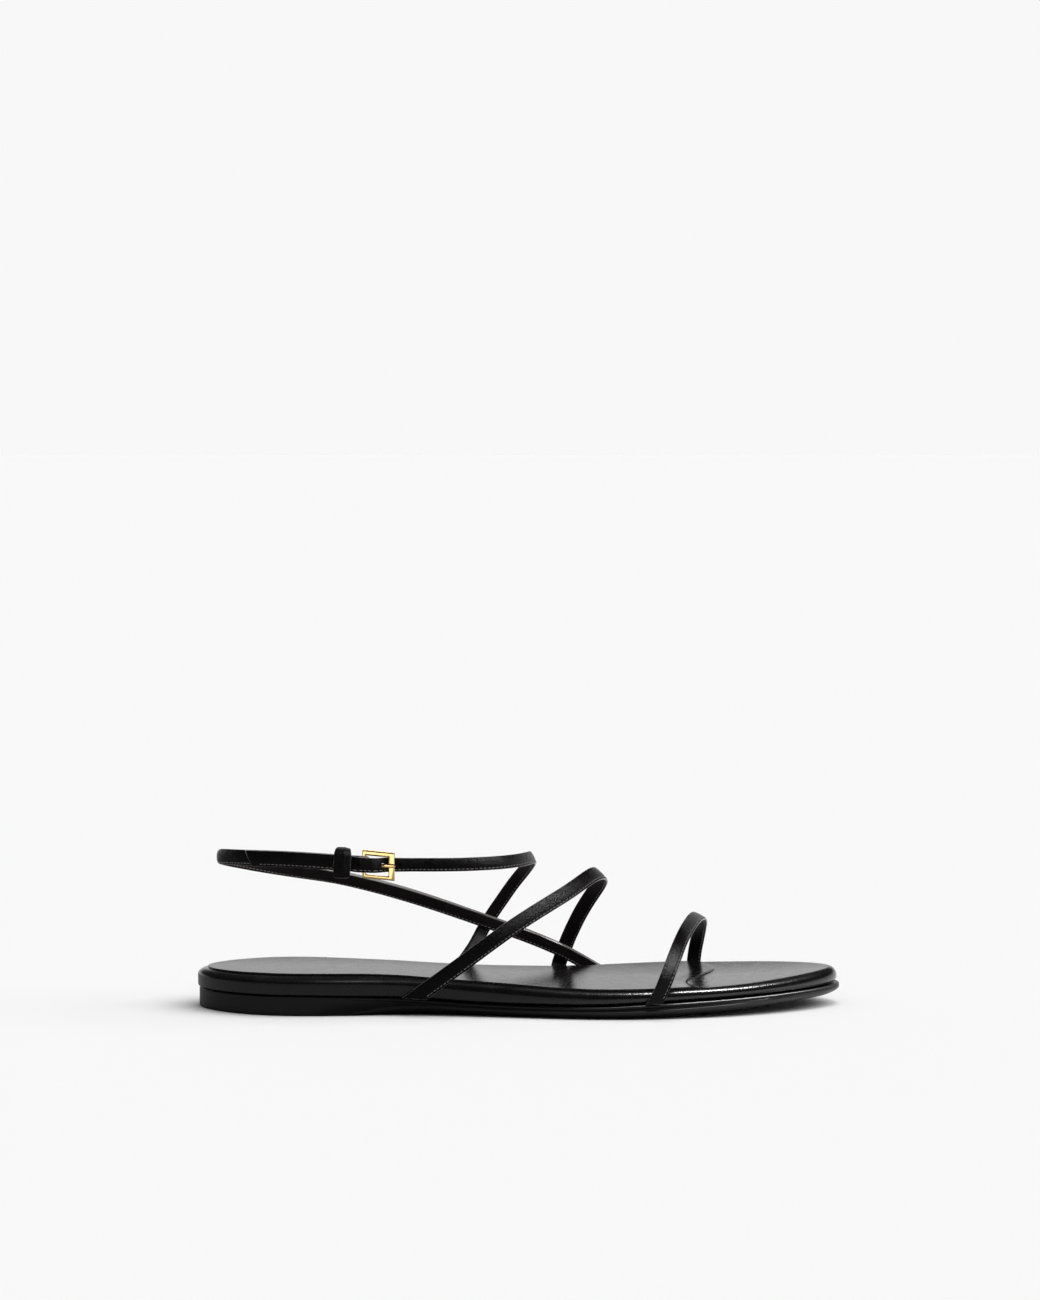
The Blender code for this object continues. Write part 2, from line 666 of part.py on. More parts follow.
# Buckle frame: a flat rectangular frame with a thin rear bar, its front bar lying on the ankle strap.
frame = bmesh.new()
corners = []
for rear, front, half in (
    (FRAME_REAR, FRAME_FRONT, FRAME_HALF_HEIGHT),
    (OPENING_REAR, OPENING_FRONT, OPENING_HALF_HEIGHT),
):
    for side in (-1, 1):
        loop = []
        for s, b in ((rear, -half), (front, -half), (front, half), (rear, half)):
            n = FOLD_RADIUS + (FRONT_BAR_OUT - FOLD_RADIUS) * (s - BAR_S) / (FRAME_FRONT - BAR_S)
            turned = (s - BAR_S) * math.sin(FRAME_TILT)
            loop.append(frame.verts.new(buckle_place(s, b + turned, n + side * FRAME_THICK / 2)))
        corners.append(loop)
outer_low, outer_high, inner_low, inner_high = corners
round_the_bar = (outer_low, outer_high, inner_high, inner_low, outer_low)
for one, two in zip(round_the_bar, round_the_bar[1:]):
    for i in range(4):
        after = (i + 1) % 4
        frame.faces.new((one[i], one[after], two[after], two[i]))
frame = finish("buckle_frame", frame, gold, smooth=False)
edges = frame.modifiers.new("eased_edges", "BEVEL")
edges.width = FRAME_EDGE
edges.segments = 2

# Buckle prong: a flat wire curled round the rear bar, out through the strap's hole and over the front bar.
prong_line = []
for turn in range(-40, -271, -23):
    s = BAR_S + PRONG_RADIUS * math.cos(math.radians(turn))
    prong_line.append((s, FOLD_RADIUS + PRONG_RADIUS * math.sin(math.radians(turn))))
prong_line += [
    (-0.0030, 0.00315),
    (-0.0008, 0.00290),
    (0.0010, 0.00350),
    (0.0026, 0.00425),
    (0.0050, 0.00435),
    (0.0066, 0.00415),
]
prong_line = np.array(prong_line)
run = chords(prong_line)
smooth_line = cubic(run, prong_line, np.linspace(0.0, run[-1], 26))
prong = bmesh.new()
rings = []
for i, (s, n) in enumerate(smooth_line):
    before = smooth_line[max(i - 1, 0)]
    after = smooth_line[min(i + 1, len(smooth_line) - 1)]
    ds, dn = (after - before) / np.linalg.norm(after - before)
    section = []
    for k in range(8):
        turn = math.pi * (k + 0.5) / 4
        b = PRONG_HALF_WIDTH * math.cos(turn)
        h = PRONG_HALF_THICK * math.sin(turn)
        section.append(prong.verts.new(buckle_place(s - dn * h, b, n + ds * h)))
    rings.append(section)
for one, two in zip(rings, rings[1:]):
    for k in range(8):
        after = (k + 1) % 8
        prong.faces.new((one[k], one[after], two[after], two[k]))
prong.faces.new(rings[0])
prong.faces.new(rings[-1])
finish("buckle_prong", prong, gold)

# Keeper: a loose leather loop round the sling and the strap's end.
KEEPER_INNER = -GAP
KEEPER_OUTER = 2 * STRAP_THICK + 3 * GAP
KEEPER_CORNER = 0.0016
loop_points = []
loop_outward = []
loop_across = []
places, outs, ups = sampled(ankle_line, np.array([middle + KEEPER_MIDDLE]))
keeper_middle = places[0]
keeper_out = outs[0]
keeper_up = ups[0] * np.sign(ups[0][2])
keeper_along = np.cross(keeper_out, keeper_up)
mid_n = (KEEPER_INNER + KEEPER_OUTER) / 2
half_n = (KEEPER_OUTER - KEEPER_INNER) / 2
for quarter, (sb, sn) in enumerate(((1, 1), (-1, 1), (-1, -1), (1, -1))):
    for turn in (0, 30, 60, 90):
        turn = math.radians(turn + 90 * quarter)
        b = sb * (KEEPER_HALF_HEIGHT - KEEPER_CORNER) + KEEPER_CORNER * math.cos(turn)
        n = mid_n + sn * (half_n - KEEPER_CORNER) + KEEPER_CORNER * math.sin(turn)
        loop_points.append(keeper_middle + keeper_up * b + keeper_out * n)
        loop_outward.append(keeper_up * math.cos(turn) + keeper_out * math.sin(turn))
        loop_across.append(keeper_along)
loop = np.array([loop_points, loop_outward, loop_across])
keeper = swept(*loop, KEEPER_WIDTH / 2, KEEPER_THICK, closed=True)
finish("strap_keeper", keeper, strap_leather)
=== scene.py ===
"""Looks of a flat strappy sandal for the right foot: black leather straps and sole, small gold buckle."""

import math

import bmesh
import bpy
import numpy as np
from mathutils import Matrix, Vector


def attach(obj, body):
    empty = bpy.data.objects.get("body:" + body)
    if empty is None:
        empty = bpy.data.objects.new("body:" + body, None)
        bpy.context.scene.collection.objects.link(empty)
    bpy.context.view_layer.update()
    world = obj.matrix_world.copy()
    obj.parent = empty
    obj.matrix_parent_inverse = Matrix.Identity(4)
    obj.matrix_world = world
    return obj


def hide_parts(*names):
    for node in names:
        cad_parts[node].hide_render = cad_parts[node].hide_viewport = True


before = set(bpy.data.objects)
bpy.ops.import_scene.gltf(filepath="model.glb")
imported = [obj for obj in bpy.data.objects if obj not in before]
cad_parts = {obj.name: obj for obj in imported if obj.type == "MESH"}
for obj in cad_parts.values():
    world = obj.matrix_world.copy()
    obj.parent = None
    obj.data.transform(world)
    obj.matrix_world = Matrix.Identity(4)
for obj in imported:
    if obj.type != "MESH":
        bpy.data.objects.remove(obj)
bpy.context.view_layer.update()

# View: a long lens a little above the outer side, pitched so that the sandal stands low in the picture.
# X runs from heel to toe, minus Y is the outer side and Z is up, all in metres.
AXIS_Y = -0.0018
AIM = np.array([0.0, AXIS_Y, 0.0293])
DISTANCE = 1.5
LOOK_DOWN = math.radians(7.5)
PICTURE_ROWS = 1300
AIM_ROW = 930
FOCAL_ROWS = 3836

pitch = LOOK_DOWN - math.atan((AIM_ROW - PICTURE_ROWS / 2) / FOCAL_ROWS)
stand = AIM + DISTANCE * np.array([0.0, -math.cos(LOOK_DOWN), math.sin(LOOK_DOWN)])
bpy.ops.object.camera_add(location=stand, rotation=(math.pi / 2 - pitch, 0.0, 0.0))
camera = bpy.context.object
camera.data.lens = camera.data.sensor_width * FOCAL_ROWS / PICTURE_ROWS
bpy.context.scene.camera = camera
bpy.context.scene.view_settings.view_transform = "Standard"


# Outsole: one unit of sole leather with a low heel, its edge trimmed, dyed black and waxed, glued under the
# footbed. A lip and a fine groove run round under its seat. Below its upright band the edge turns under to
# the flat bottom.
LENGTH = 0.250
BALL_WIDTH = 0.083
HEEL_HEIGHT = 0.0148
GAP = 0.0003
MM = 0.001

# Shares of the length and of the ball's width. In SIDE the four heights are shares of the heel's height, and
# under and set_in are millimetres in from the outline.
OUTLINE = (
    ("along", "across"),
    (0.000, 0.000),
    (0.088, -0.310),
    (0.280, -0.342),
    (0.500, -0.418),
    (0.640, -0.477),
    (0.780, -0.419),
    (0.912, -0.251),
    (1.000, 0.066),
    (0.944, 0.337),
    (0.732, 0.530),
    (0.608, 0.434),
    (0.420, 0.247),
    (0.248, 0.280),
    (0.096, 0.307),
)
SIDE = (
    ("along", "bottom", "band", "seat", "top", "under", "set_in"),
    (0.000, 0.000, 0.036, 0.520, 1.000, 0.7, -0.6),
    (0.160, 0.000, 0.036, 0.525, 1.000, 0.7, -0.5),
    (0.235, 0.000, 0.045, 0.496, 0.993, 0.8, -0.4),
    (0.300, 0.017, 0.219, 0.464, 0.974, 2.6, -0.3),
    (0.360, 0.033, 0.248, 0.411, 0.925, 3.4, -0.2),
    (0.430, 0.020, 0.199, 0.344, 0.857, 3.4, 0.0),
    (0.500, 0.000, 0.175, 0.315, 0.789, 3.2, 0.3),
    (0.560, 0.000, 0.166, 0.311, 0.731, 3.0, 0.5),
    (0.625, 0.000, 0.166, 0.325, 0.703, 3.0, 0.7),
    (0.690, 0.030, 0.192, 0.376, 0.710, 3.0, 0.8),
    (0.830, 0.146, 0.298, 0.464, 0.781, 3.0, 0.8),
    (0.900, 0.225, 0.371, 0.508, 0.856, 3.0, 0.9),
    (1.000, 0.311, 0.457, 0.568, 1.000, 3.0, 1.0),
)
HALF_RING = 151
ACROSS_CUTS = 14
SOFTEN = 0.005
SOFTEN_STEPS = 9
FINE_POINTS = 6001


def column(table, name):
    """The values of one named column of a table whose first row names them."""
    place = table[0].index(name)
    return [row[place] for row in table[1:]]


def cubic(knots, rows, at, closed=False):
    """A smooth cubic spline through rows at their knots; a closed one repeats its first row last."""
    knots = np.asarray(knots, float)
    rows = np.asarray(rows, float)
    steps = np.diff(knots)
    count = len(knots) - 1 if closed else len(knots)
    matrix = np.zeros((count, count))
    right = np.zeros((count, rows.shape[1]))
    for i in range(count):
        if not closed and i in (0, count - 1):
            matrix[i, i] = 1.0
            continue
        before = steps[i - 1]
        after = steps[i]
        previous = rows[i - 1] if i else rows[-2]
        matrix[i, (i - 1) % count] += before
        matrix[i, i] += 2 * (before + after)
        matrix[i, (i + 1) % count] += after
        right[i] = 6 * ((rows[i + 1] - rows[i]) / after - (rows[i] - previous) / before)
    bend = np.linalg.solve(matrix, right)
    if closed:
        bend = np.vstack([bend, bend[:1]])
    at = np.asarray(at, float)
    i = np.clip(np.searchsorted(knots, at) - 1, 0, len(steps) - 1)
    step = steps[i][:, None]
    left = (knots[i + 1] - at)[:, None]
    gone = (at - knots[i])[:, None]
    curve = (bend[i] * left**3 + bend[i + 1] * gone**3) / (6 * step)
    curve += (rows[i] / step - bend[i] * step / 6) * left
    curve += (rows[i + 1] / step - bend[i + 1] * step / 6) * gone
    return curve


def level(knots, values, at):
    """A curve through values that never overshoots them, so that flat stretches stay flat."""
    knots = np.asarray(knots, float)
    values = np.asarray(values, float)
    steps = np.diff(knots)
    rates = np.diff(values) / steps
    slopes = np.zeros(len(values))
    for i in range(1, len(values) - 1):
        if rates[i - 1] * rates[i] > 0:
            slopes[i] = 2 * rates[i - 1] * rates[i] / (rates[i - 1] + rates[i])
    slopes[0] = rates[0]
    slopes[-1] = rates[-1]
    at = np.clip(np.asarray(at, float), knots[0], knots[-1])
    i = np.clip(np.searchsorted(knots, at) - 1, 0, len(steps) - 1)
    u = (at - knots[i]) / steps[i]
    value = values[i] * (1 + 2 * u) * (1 - u) ** 2 + values[i + 1] * u**2 * (3 - 2 * u)
    return value + steps[i] * (slopes[i] * u * (1 - u) ** 2 + slopes[i + 1] * u**2 * (u - 1))


def chords(points):
    """The length run along a row of points, at each of them."""
    return np.concatenate([[0.0], np.cumsum(np.linalg.norm(np.diff(points, axis=0), axis=1))])


def evenly(points, count):
    """The same line as count points at equal steps."""
    run = chords(points)
    at = np.linspace(0.0, run[-1], count)
    return np.stack([np.interp(at, run, points[:, k]) for k in range(points.shape[1])], axis=1)


def side_value(name, x):
    """A value of the sole's side table at places along the sole, softened over a few millimetres."""
    scale = MM if name in ("under", "set_in") else HEEL_HEIGHT
    weights = np.hanning(SOFTEN_STEPS + 2)[1:-1]
    near = np.linspace(-SOFTEN, SOFTEN, SOFTEN_STEPS)
    along = (np.asarray(x)[:, None] + near) / LENGTH + 0.5
    values = level(column(SIDE, "along"), column(SIDE, name), along.ravel()).reshape(along.shape)
    return scale * values @ weights / weights.sum()


def sole_outline(count):
    """The outline as points from the heel's back along the outer side to the toe and back along the inner."""
    points = np.array(OUTLINE[1:] + OUTLINE[1:2])
    points = points * (LENGTH, BALL_WIDTH) + (-LENGTH / 2, AXIS_Y)
    run = chords(points)
    dense = cubic(run, points, np.linspace(0.0, run[-1], FINE_POINTS)[:-1], closed=True)
    dense = np.roll(dense, -np.argmin(dense[:, 0]), axis=0)
    toe = np.argmax(dense[:, 0])
    outer = evenly(dense[: toe + 1], count)
    inner = evenly(np.vstack([dense[toe:], dense[:1]]), count)
    return np.vstack([outer, inner[1:-1]])


def set_in(outline, inset):
    """The outline moved in by a distance, one for each point."""
    along = np.roll(outline, -1, axis=0) - np.roll(outline, 1, axis=0)
    along /= np.linalg.norm(along, axis=1)[:, None]
    inward = np.stack([-along[:, 1], along[:, 0]], axis=1)
    return outline + inward * np.broadcast_to(inset, len(outline))[:, None]


def at_height(outline, inset, height):
    """The outline moved in and set at a height, as a ring of places."""
    return np.column_stack([set_in(outline, inset), np.broadcast_to(height, len(outline))])


def begun(name, primitive, **sizes):
    """A new primitive under its name, with nothing else selected."""
    bpy.ops.object.select_all(action="DESELECT")
    primitive(**sizes)
    made = bpy.context.object
    made.name = name
    return made


def lofted(name, rings, caps):
    """Extrudes a circle from ring to ring and bridges its two ends across, each at the heights of its cap."""
    count = len(rings[0])
    made = begun(name, bpy.ops.mesh.primitive_circle_add, vertices=count)
    bpy.ops.object.mode_set(mode="EDIT")
    for i, ring in enumerate(rings):
        if i:
            bpy.ops.mesh.extrude_edges_move()
        shape = bmesh.from_edit_mesh(made.data)
        shape.verts.ensure_lookup_table()
        for vert, place in zip(shape.verts[-count:], ring):
            vert.co = place
        bmesh.update_edit_mesh(made.data)
    ends = (0, (len(rings) - 1) * count)
    for start, height in zip(ends, caps):
        bpy.ops.mesh.select_all(action="DESELECT")
        shape = bmesh.from_edit_mesh(made.data)
        shape.verts.ensure_lookup_table()
        built = len(shape.verts)
        chain = set(range(start, start + count)) - {start, start + count // 2}
        for edge in shape.edges:
            if edge.is_boundary and edge.verts[0].index in chain and edge.verts[1].index in chain:
                edge.select_set(True)
        bpy.ops.mesh.bridge_edge_loops(number_cuts=ACROSS_CUTS, interpolation="LINEAR")
        shape = bmesh.from_edit_mesh(made.data)
        shape.verts.ensure_lookup_table()
        for vert in shape.verts[built:]:
            vert.co.z = height(np.array([vert.co.x]))[0]
        bmesh.update_edit_mesh(made.data)
    bpy.ops.mesh.select_all(action="SELECT")
    bpy.ops.mesh.fill_holes(sides=0)
    bpy.ops.mesh.normals_make_consistent(inside=False)
    bpy.ops.object.mode_set(mode="OBJECT")
    return made


outline = sole_outline(HALF_RING)
x = outline[:, 0]
bottom = side_value("bottom", x)
band = side_value("band", x)
seat = side_value("seat", x)
top = side_value("top", x)
under = side_value("under", x)

# Rows of millimetres from the outline and from the seat or the band, from the top of the edge down.
SEAT_LIP = (
    ("inset", "below_seat"),
    (4.00, 0.00),
    (0.75, 0.00),
    (0.50, 0.03),
    (0.28, 0.12),
    (0.12, 0.26),
    (0.03, 0.44),
    (0.00, 0.62),
)
GROOVE = (
    ("inset", "below_seat"),
    (0.05, 0.80),
    (0.22, 0.92),
    (0.38, 1.03),
    (0.38, 1.12),
    (0.22, 1.22),
    (0.05, 1.32),
    (0.00, 1.46),
)
BAND_BEAD = (
    ("out", "above_band"),
    (0.00, 0.70),
    (0.06, 0.58),
    (0.18, 0.46),
    (0.26, 0.32),
    (0.22, 0.17),
    (0.06, 0.05),
    (-0.20, 0.00),
)
UNDER_SHARES = (0.06, 0.15, 0.28, 0.45, 0.64, 0.82, 0.94, 1.0)
UNDER_ROUND = 0.6
EDGE_ROOM = 2.2 * MM
GROOVE_GROWS = (-0.072, -0.030)
BEAD_GROWS = (-0.086, -0.064)
BEAD_ENDS = (0.080, 0.112)


def grown(x, reach):
    """Nought behind a reach along the sole, one in front of it, with a soft change between."""
    share = np.clip((x - reach[0]) / (reach[1] - reach[0]), 0.0, 1.0)
    return share * share * (3 - 2 * share)


front = grown(x, GROOVE_GROWS)
bead = grown(x, BEAD_GROWS) * (1 - grown(x, BEAD_ENDS))
high = MM * np.minimum(1.0, (seat - band) / EDGE_ROOM)
outsole_rings = [at_height(outline, i * MM, seat - d * high) for i, d in SEAT_LIP[1:]]
outsole_rings += [at_height(outline, i * MM * front, seat - d * high) for i, d in GROOVE[1:]]
outsole_rings += [at_height(outline, -o * MM * bead, band + a * high) for o, a in BAND_BEAD[1:]]
edge_inset = -BAND_BEAD[-1][0] * MM * bead
for share in UNDER_SHARES:
    inset = edge_inset + share * (under - edge_inset)
    outsole_rings.append(at_height(outline, inset, band - share**UNDER_ROUND * (band - bottom)))
outsole = lofted(
    "sole_unit", outsole_rings, (lambda at: side_value("seat", at), lambda at: side_value("bottom", at)),
)
bpy.ops.object.shade_smooth_by_angle(angle=math.radians(40))


def colour(code):
    """A hex sRGB colour as linear red, green, blue and alpha."""
    parts = [int(code[i : i + 2], 16) / 255 for i in (1, 3, 5)]
    return [p / 12.92 if p <= 0.04045 else ((p + 0.055) / 1.055) ** 2.4 for p in parts] + [1.0]


def add(tree, kind, settings=None, links=None):
    """Adds a shader node with its settings, and links its sockets to other nodes' outputs."""
    node = tree.nodes.new(kind)
    for name, value in (settings or {}).items():
        if isinstance(name, str) and hasattr(node, name):
            setattr(node, name, value)
        else:
            node.inputs[name].default_value = value
    for name, source in (links or {}).items():
        tree.links.new(source, node.inputs[name])
    return node


def new_material(name):
    """An empty node material with its Principled shader."""
    made = bpy.data.materials.new(name)
    made.use_nodes = True
    return made, made.node_tree, made.node_tree.nodes["Principled BSDF"]


def set_sockets(shader, values):
    """Sets constants on a shader's own sockets."""
    for name, value in values.items():
        shader.inputs[name].default_value = value


# Dyed, waxed sole leather: satin black with faint lines where its layers were trimmed along the side. The
# lines are drawn a little coarser than real ones, so that they show.
LAYER_LINE = 0.45 * MM
LAYER_REACH = 25 * MM
LAYER_TURN = 0.012
sole_black, tree, shader = new_material("waxed_sole_edge")
set_sockets(shader, {"IOR": 1.42, "Specular IOR Level": 0.45, "Coat Weight": 0.35, "Coat Roughness": 0.2})
place = add(tree, "ShaderNodeTexCoord")
stretch = add(
    tree,
    "ShaderNodeMapping",
    {"Scale": (1 / LAYER_REACH, 1 / LAYER_REACH, 1 / LAYER_LINE), "Rotation": (0.0, LAYER_TURN, 0.0)},
    {"Vector": place.outputs["Object"]},
)
layers = add(
    tree,
    "ShaderNodeTexNoise",
    {"Scale": 1.0, "Detail": 3.0, "Roughness": 0.6},
    {"Vector": stretch.outputs["Vector"]},
)
tint = add(tree, "ShaderNodeValToRGB", links={"Fac": layers.outputs["Fac"]})
tint.color_ramp.elements[0].color = colour("#090809")
tint.color_ramp.elements[1].color = colour("#131214")
satin = add(tree, "ShaderNodeMapRange", {"To Min": 0.34, "To Max": 0.48}, {"Value": layers.outputs["Fac"]})
ridges = add(
    tree, "ShaderNodeBump", {"Strength": 0.5, "Distance": 0.03 * MM}, {"Height": layers.outputs["Fac"]},
)
tree.links.new(tint.outputs["Color"], shader.inputs["Base Color"])
tree.links.new(satin.outputs["Result"], shader.inputs["Roughness"])
tree.links.new(ridges.outputs["Normal"], shader.inputs["Normal"])
outsole.data.materials.append(sole_black)
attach(outsole, "root")
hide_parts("outsole")


# Footbed: a midsole board wrapped in one piece of black nappa, pulled over its round shoulder and turned in
# under its lower edge. It is glued on the outsole's seat.
SHOULDER = 0.0030
SHOULDER_TURNS = range(90, -1, -6)
TOE_ROLL = (("x", "wider"), (0.062, 0.0001), (0.100, 0.0018), (0.125, 0.0022))
HEEL_ROLL = (
    ("x", "wider"),
    (-0.125, 0.0016),
    (-0.112, 0.0022),
    (-0.100, 0.0034),
    (-0.062, 0.0032),
    (-0.046, 0.0018),
    (-0.030, 0.0000),
)
SHOULDER_DROP = (("x", "share"), (-0.125, 0.34), (-0.050, 0.36), (0.010, 0.50), (0.080, 0.58), (0.125, 0.62))
ROLL_ENDS = 0.010
ROLL_EASE = 0.030
HEEL_TIGHT = 0.35
FOOT_ROLL = (
    ("inset", "above_seat"),
    (0.10, 1.60),
    (0.24, 1.15),
    (0.44, 0.75),
    (0.72, 0.38),
    (1.08, 0.12),
    (1.50, 0.00),
    (4.00, 0.00),
)


def profile(table, at):
    """The second column of a table as a level curve over its first."""
    first, second = table[0]
    return level(column(table, first), column(table, second), at)


wall = set_in(outline, side_value("set_in", x))
foot = seat + GAP
height = top - foot
outer_side = np.clip((ROLL_ENDS - wall[:, 1]) / ROLL_EASE, 0.0, 1.0)
rolled = profile(HEEL_ROLL, x) * outer_side
shoulder = SHOULDER + rolled + profile(TOE_ROLL, x) * outer_side
drop = profile(SHOULDER_DROP, x) * height
tight = HEEL_TIGHT + (1 - HEEL_TIGHT) * front
footbed_rings = []
for turn in SHOULDER_TURNS:
    turn = math.radians(turn)
    ring = at_height(wall, shoulder * (1 - math.cos(turn)), 0.0)
    ring[:, 2] = side_value("top", ring[:, 0]) - drop * (1 - math.sin(turn))
    footbed_rings.append(ring)
for inset, above in FOOT_ROLL[1:]:
    footbed_rings.append(at_height(wall, inset * MM * tight, foot + above * MM * tight))
footbed = lofted(
    "wrapped_footbed",
    footbed_rings,
    (lambda at: side_value("top", at), lambda at: side_value("seat", at) + GAP),
)
bpy.ops.object.shade_smooth_by_angle(angle=math.radians(50))


DYE_CLOUD = 5 * MM


def leather(name, dark, light, grain, depth, roughness, coat, shine=0.5, shows=None):
    """Dyed nappa: near black, a pebbled grain with fine pores between, and a thin uneven finish on top.

    Where given, shows is the stretch along X where the grain stands up, with its two soft ends.
    """
    made, tree, shader = new_material(name)
    set_sockets(shader, {"IOR": 1.42, "Specular IOR Level": shine})
    set_sockets(shader, {"Coat Weight": coat, "Coat Roughness": 0.2, "Coat IOR": 1.4})
    place = add(tree, "ShaderNodeTexCoord")
    stir = add(
        tree,
        "ShaderNodeTexNoise",
        {"Scale": 0.4 / grain, "Detail": 2.0},
        {"Vector": place.outputs["Object"]},
    )
    pulled = add(
        tree,
        "ShaderNodeVectorMath",
        {"operation": "MULTIPLY_ADD", 1: (1.2 * grain,) * 3},
        {0: stir.outputs["Color"], 2: place.outputs["Object"]},
    )
    pebbles = add(
        tree,
        "ShaderNodeTexVoronoi",
        {"feature": "SMOOTH_F1", "Scale": 1 / grain, "Smoothness": 0.35},
        {"Vector": pulled.outputs["Vector"]},
    )
    pores = add(
        tree,
        "ShaderNodeTexNoise",
        {"Scale": 2.2 / grain, "Detail": 3.0, "Roughness": 0.65},
        {"Vector": place.outputs["Object"]},
    )
    relief = add(
        tree,
        "ShaderNodeMath",
        {"operation": "MULTIPLY_ADD", 1: 0.45},
        {0: pores.outputs["Fac"], 2: pebbles.outputs["Distance"]},
    )
    raised = relief.outputs["Value"]
    if shows:
        along = add(tree, "ShaderNodeSeparateXYZ", links={"Vector": place.outputs["Object"]})
        for start, full in (shows[:2], shows[:1:-1]):
            eased = add(
                tree,
                "ShaderNodeMapRange",
                {"interpolation_type": "SMOOTHSTEP", "From Min": start, "From Max": full, "To Min": 0.15},
                {"Value": along.outputs["X"]},
            )
            raised = add(
                tree, "ShaderNodeMath", {"operation": "MULTIPLY"}, {0: raised, 1: eased.outputs["Result"]},
            ).outputs["Value"]
    grained = add(
        tree, "ShaderNodeBump", {"Strength": 0.8, "Distance": depth, "invert": True}, {"Height": raised},
    )
    cloud = add(
        tree,
        "ShaderNodeTexNoise",
        {"Scale": 1 / DYE_CLOUD, "Detail": 3.0},
        {"Vector": place.outputs["Object"]},
    )
    tint = add(tree, "ShaderNodeValToRGB", links={"Fac": cloud.outputs["Fac"]})
    tint.color_ramp.elements[0].position = 0.3
    tint.color_ramp.elements[0].color = colour(dark)
    tint.color_ramp.elements[1].position = 0.7
    tint.color_ramp.elements[1].color = colour(light)
    sheen = add(
        tree,
        "ShaderNodeMapRange",
        {"To Min": roughness - 0.06, "To Max": roughness + 0.06},
        {"Value": cloud.outputs["Fac"]},
    )
    tree.links.new(tint.outputs["Color"], shader.inputs["Base Color"])
    tree.links.new(sheen.outputs["Result"], shader.inputs["Roughness"])
    tree.links.new(grained.outputs["Normal"], shader.inputs["Normal"])
    tree.links.new(grained.outputs["Normal"], shader.inputs["Coat Normal"])
    return made


SHADE_INSIDE_FROM = 0.000
SHADE_INSIDE_FULL = 0.034


def coat_painted_shade_inside(made, coat):
    """Less coat towards the foot's inner side: a painted shade that darkens the top's inner half, which
    mirrors less.
    """
    tree = made.node_tree
    place = add(tree, "ShaderNodeTexCoord")
    aside = add(tree, "ShaderNodeSeparateXYZ", links={"Vector": place.outputs["Object"]})
    # Painted shade: the coat weight falls from the outer side to the inner side.
    painted_shade = add(
        tree,
        "ShaderNodeMapRange",
        {"From Min": SHADE_INSIDE_FROM, "From Max": SHADE_INSIDE_FULL, "To Min": coat, "To Max": 0.0},
        {"Value": aside.outputs["Y"]},
    )
    tree.links.new(painted_shade.outputs["Result"], tree.nodes["Principled BSDF"].inputs["Coat Weight"])


# The wrap's nappa is stretched thin over the board, so its grain is flat and the finish shows more gloss. Its
# grain is drawn about twice as coarse as real nappa's, so that it shows.
GRAIN_STRETCH = (-0.005, 0.020, 0.105, 0.120)
WRAP_COAT = 0.95
wrap_nappa = leather(
    "stretched_nappa",
    "#090809",
    "#0f0d0f",
    grain=0.7 * MM,
    depth=0.04 * MM,
    roughness=0.27,
    coat=WRAP_COAT,
    shows=GRAIN_STRETCH,
)
coat_painted_shade_inside(wrap_nappa, WRAP_COAT)
footbed.data.materials.append(wrap_nappa)
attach(footbed, "root")
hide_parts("footbed")


# Sock: a thin sheet of smooth polished leather, glued on the footbed from the heel to the ball. Its front
# edge is skived thin and cut in a gentle S under the toe strap.
SOCK_THICK = 0.0006
SOCK_INSET = 0.0033
SOCK_EASE = 0.00010
SKIVED = 0.00028
SKIVE_REACH = 0.006
SOCK_LIFT = 0.00005
SOCK_FRONT = (
    ("share", "along"),
    (0.00, 0.774),
    (0.20, 0.758),
    (0.36, 0.768),
    (0.54, 0.794),
    (0.76, 0.807),
    (1.00, 0.789),
)
SOCK_BLEND = 0.030
SOCK_ROWS = 120
SOCK_ACROSS = 48
SOCK_COAT = 0.75
SAME_PLACE = 0.02 * MM


def up_to(edge, front, count):
    """One side of the sock's edge as even points from the heel to its front end."""
    edge = edge[: np.argmax(edge[:, 0]) + 1]
    kept = edge[edge[:, 0] < front - MM]
    return evenly(np.vstack([kept, [front, np.interp(front, *edge.T)]]), count)


def outer_half(ring):
    """A ring's points along the outer side, from heel to toe."""
    return ring[:HALF_RING]


def inner_half(ring):
    """A ring's points along the inner side, from heel to toe."""
    return np.vstack([ring[:1], ring[: HALF_RING - 2 : -1]])


shares = np.linspace(0.0, 1.0, SOCK_ACROSS + 1)
sock_ring = set_in(wall, SOCK_INSET + rolled)
fronts = (cubic(column(SOCK_FRONT, "share"), np.array(SOCK_FRONT[1:])[:, 1:], shares)[:, 0] - 0.5) * LENGTH
outer_edge = up_to(outer_half(sock_ring), fronts[0], SOCK_ROWS + 1)
inner_edge = up_to(inner_half(sock_ring), fronts[-1], SOCK_ROWS + 1)
swing = fronts - (fronts[0] + (fronts[-1] - fronts[0]) * shares)
grid = bpy.ops.mesh.primitive_grid_add
sock = begun("sock_sheet", grid, x_subdivisions=SOCK_ROWS, y_subdivisions=SOCK_ACROSS, size=1)
for vert in sock.data.vertices:
    row = round((vert.co.x + 0.5) * SOCK_ROWS)
    step = round((vert.co.y + 0.5) * SOCK_ACROSS)
    nearness = max(0.0, 1 - (fronts[0] - outer_edge[row, 0]) / SOCK_BLEND) ** 2
    vert.co.xy = outer_edge[row] + (inner_edge[row] - outer_edge[row]) * shares[step]
    vert.co.x += nearness * swing[step]
    vert.co.z = side_value("top", np.array([vert.co.x]))[0] + SOCK_LIFT
bpy.ops.object.mode_set(mode="EDIT")
bpy.ops.mesh.select_all(action="SELECT")
bpy.ops.mesh.remove_doubles(threshold=SAME_PLACE)
bpy.ops.mesh.extrude_region_move(TRANSFORM_OT_translate={"value": (0.0, 0.0, SOCK_THICK)})
bpy.ops.mesh.select_all(action="SELECT")
bpy.ops.mesh.normals_make_consistent(inside=False)
bpy.ops.object.mode_set(mode="OBJECT")
front_y = outer_edge[-1, 1] + (inner_edge[-1, 1] - outer_edge[-1, 1]) * shares
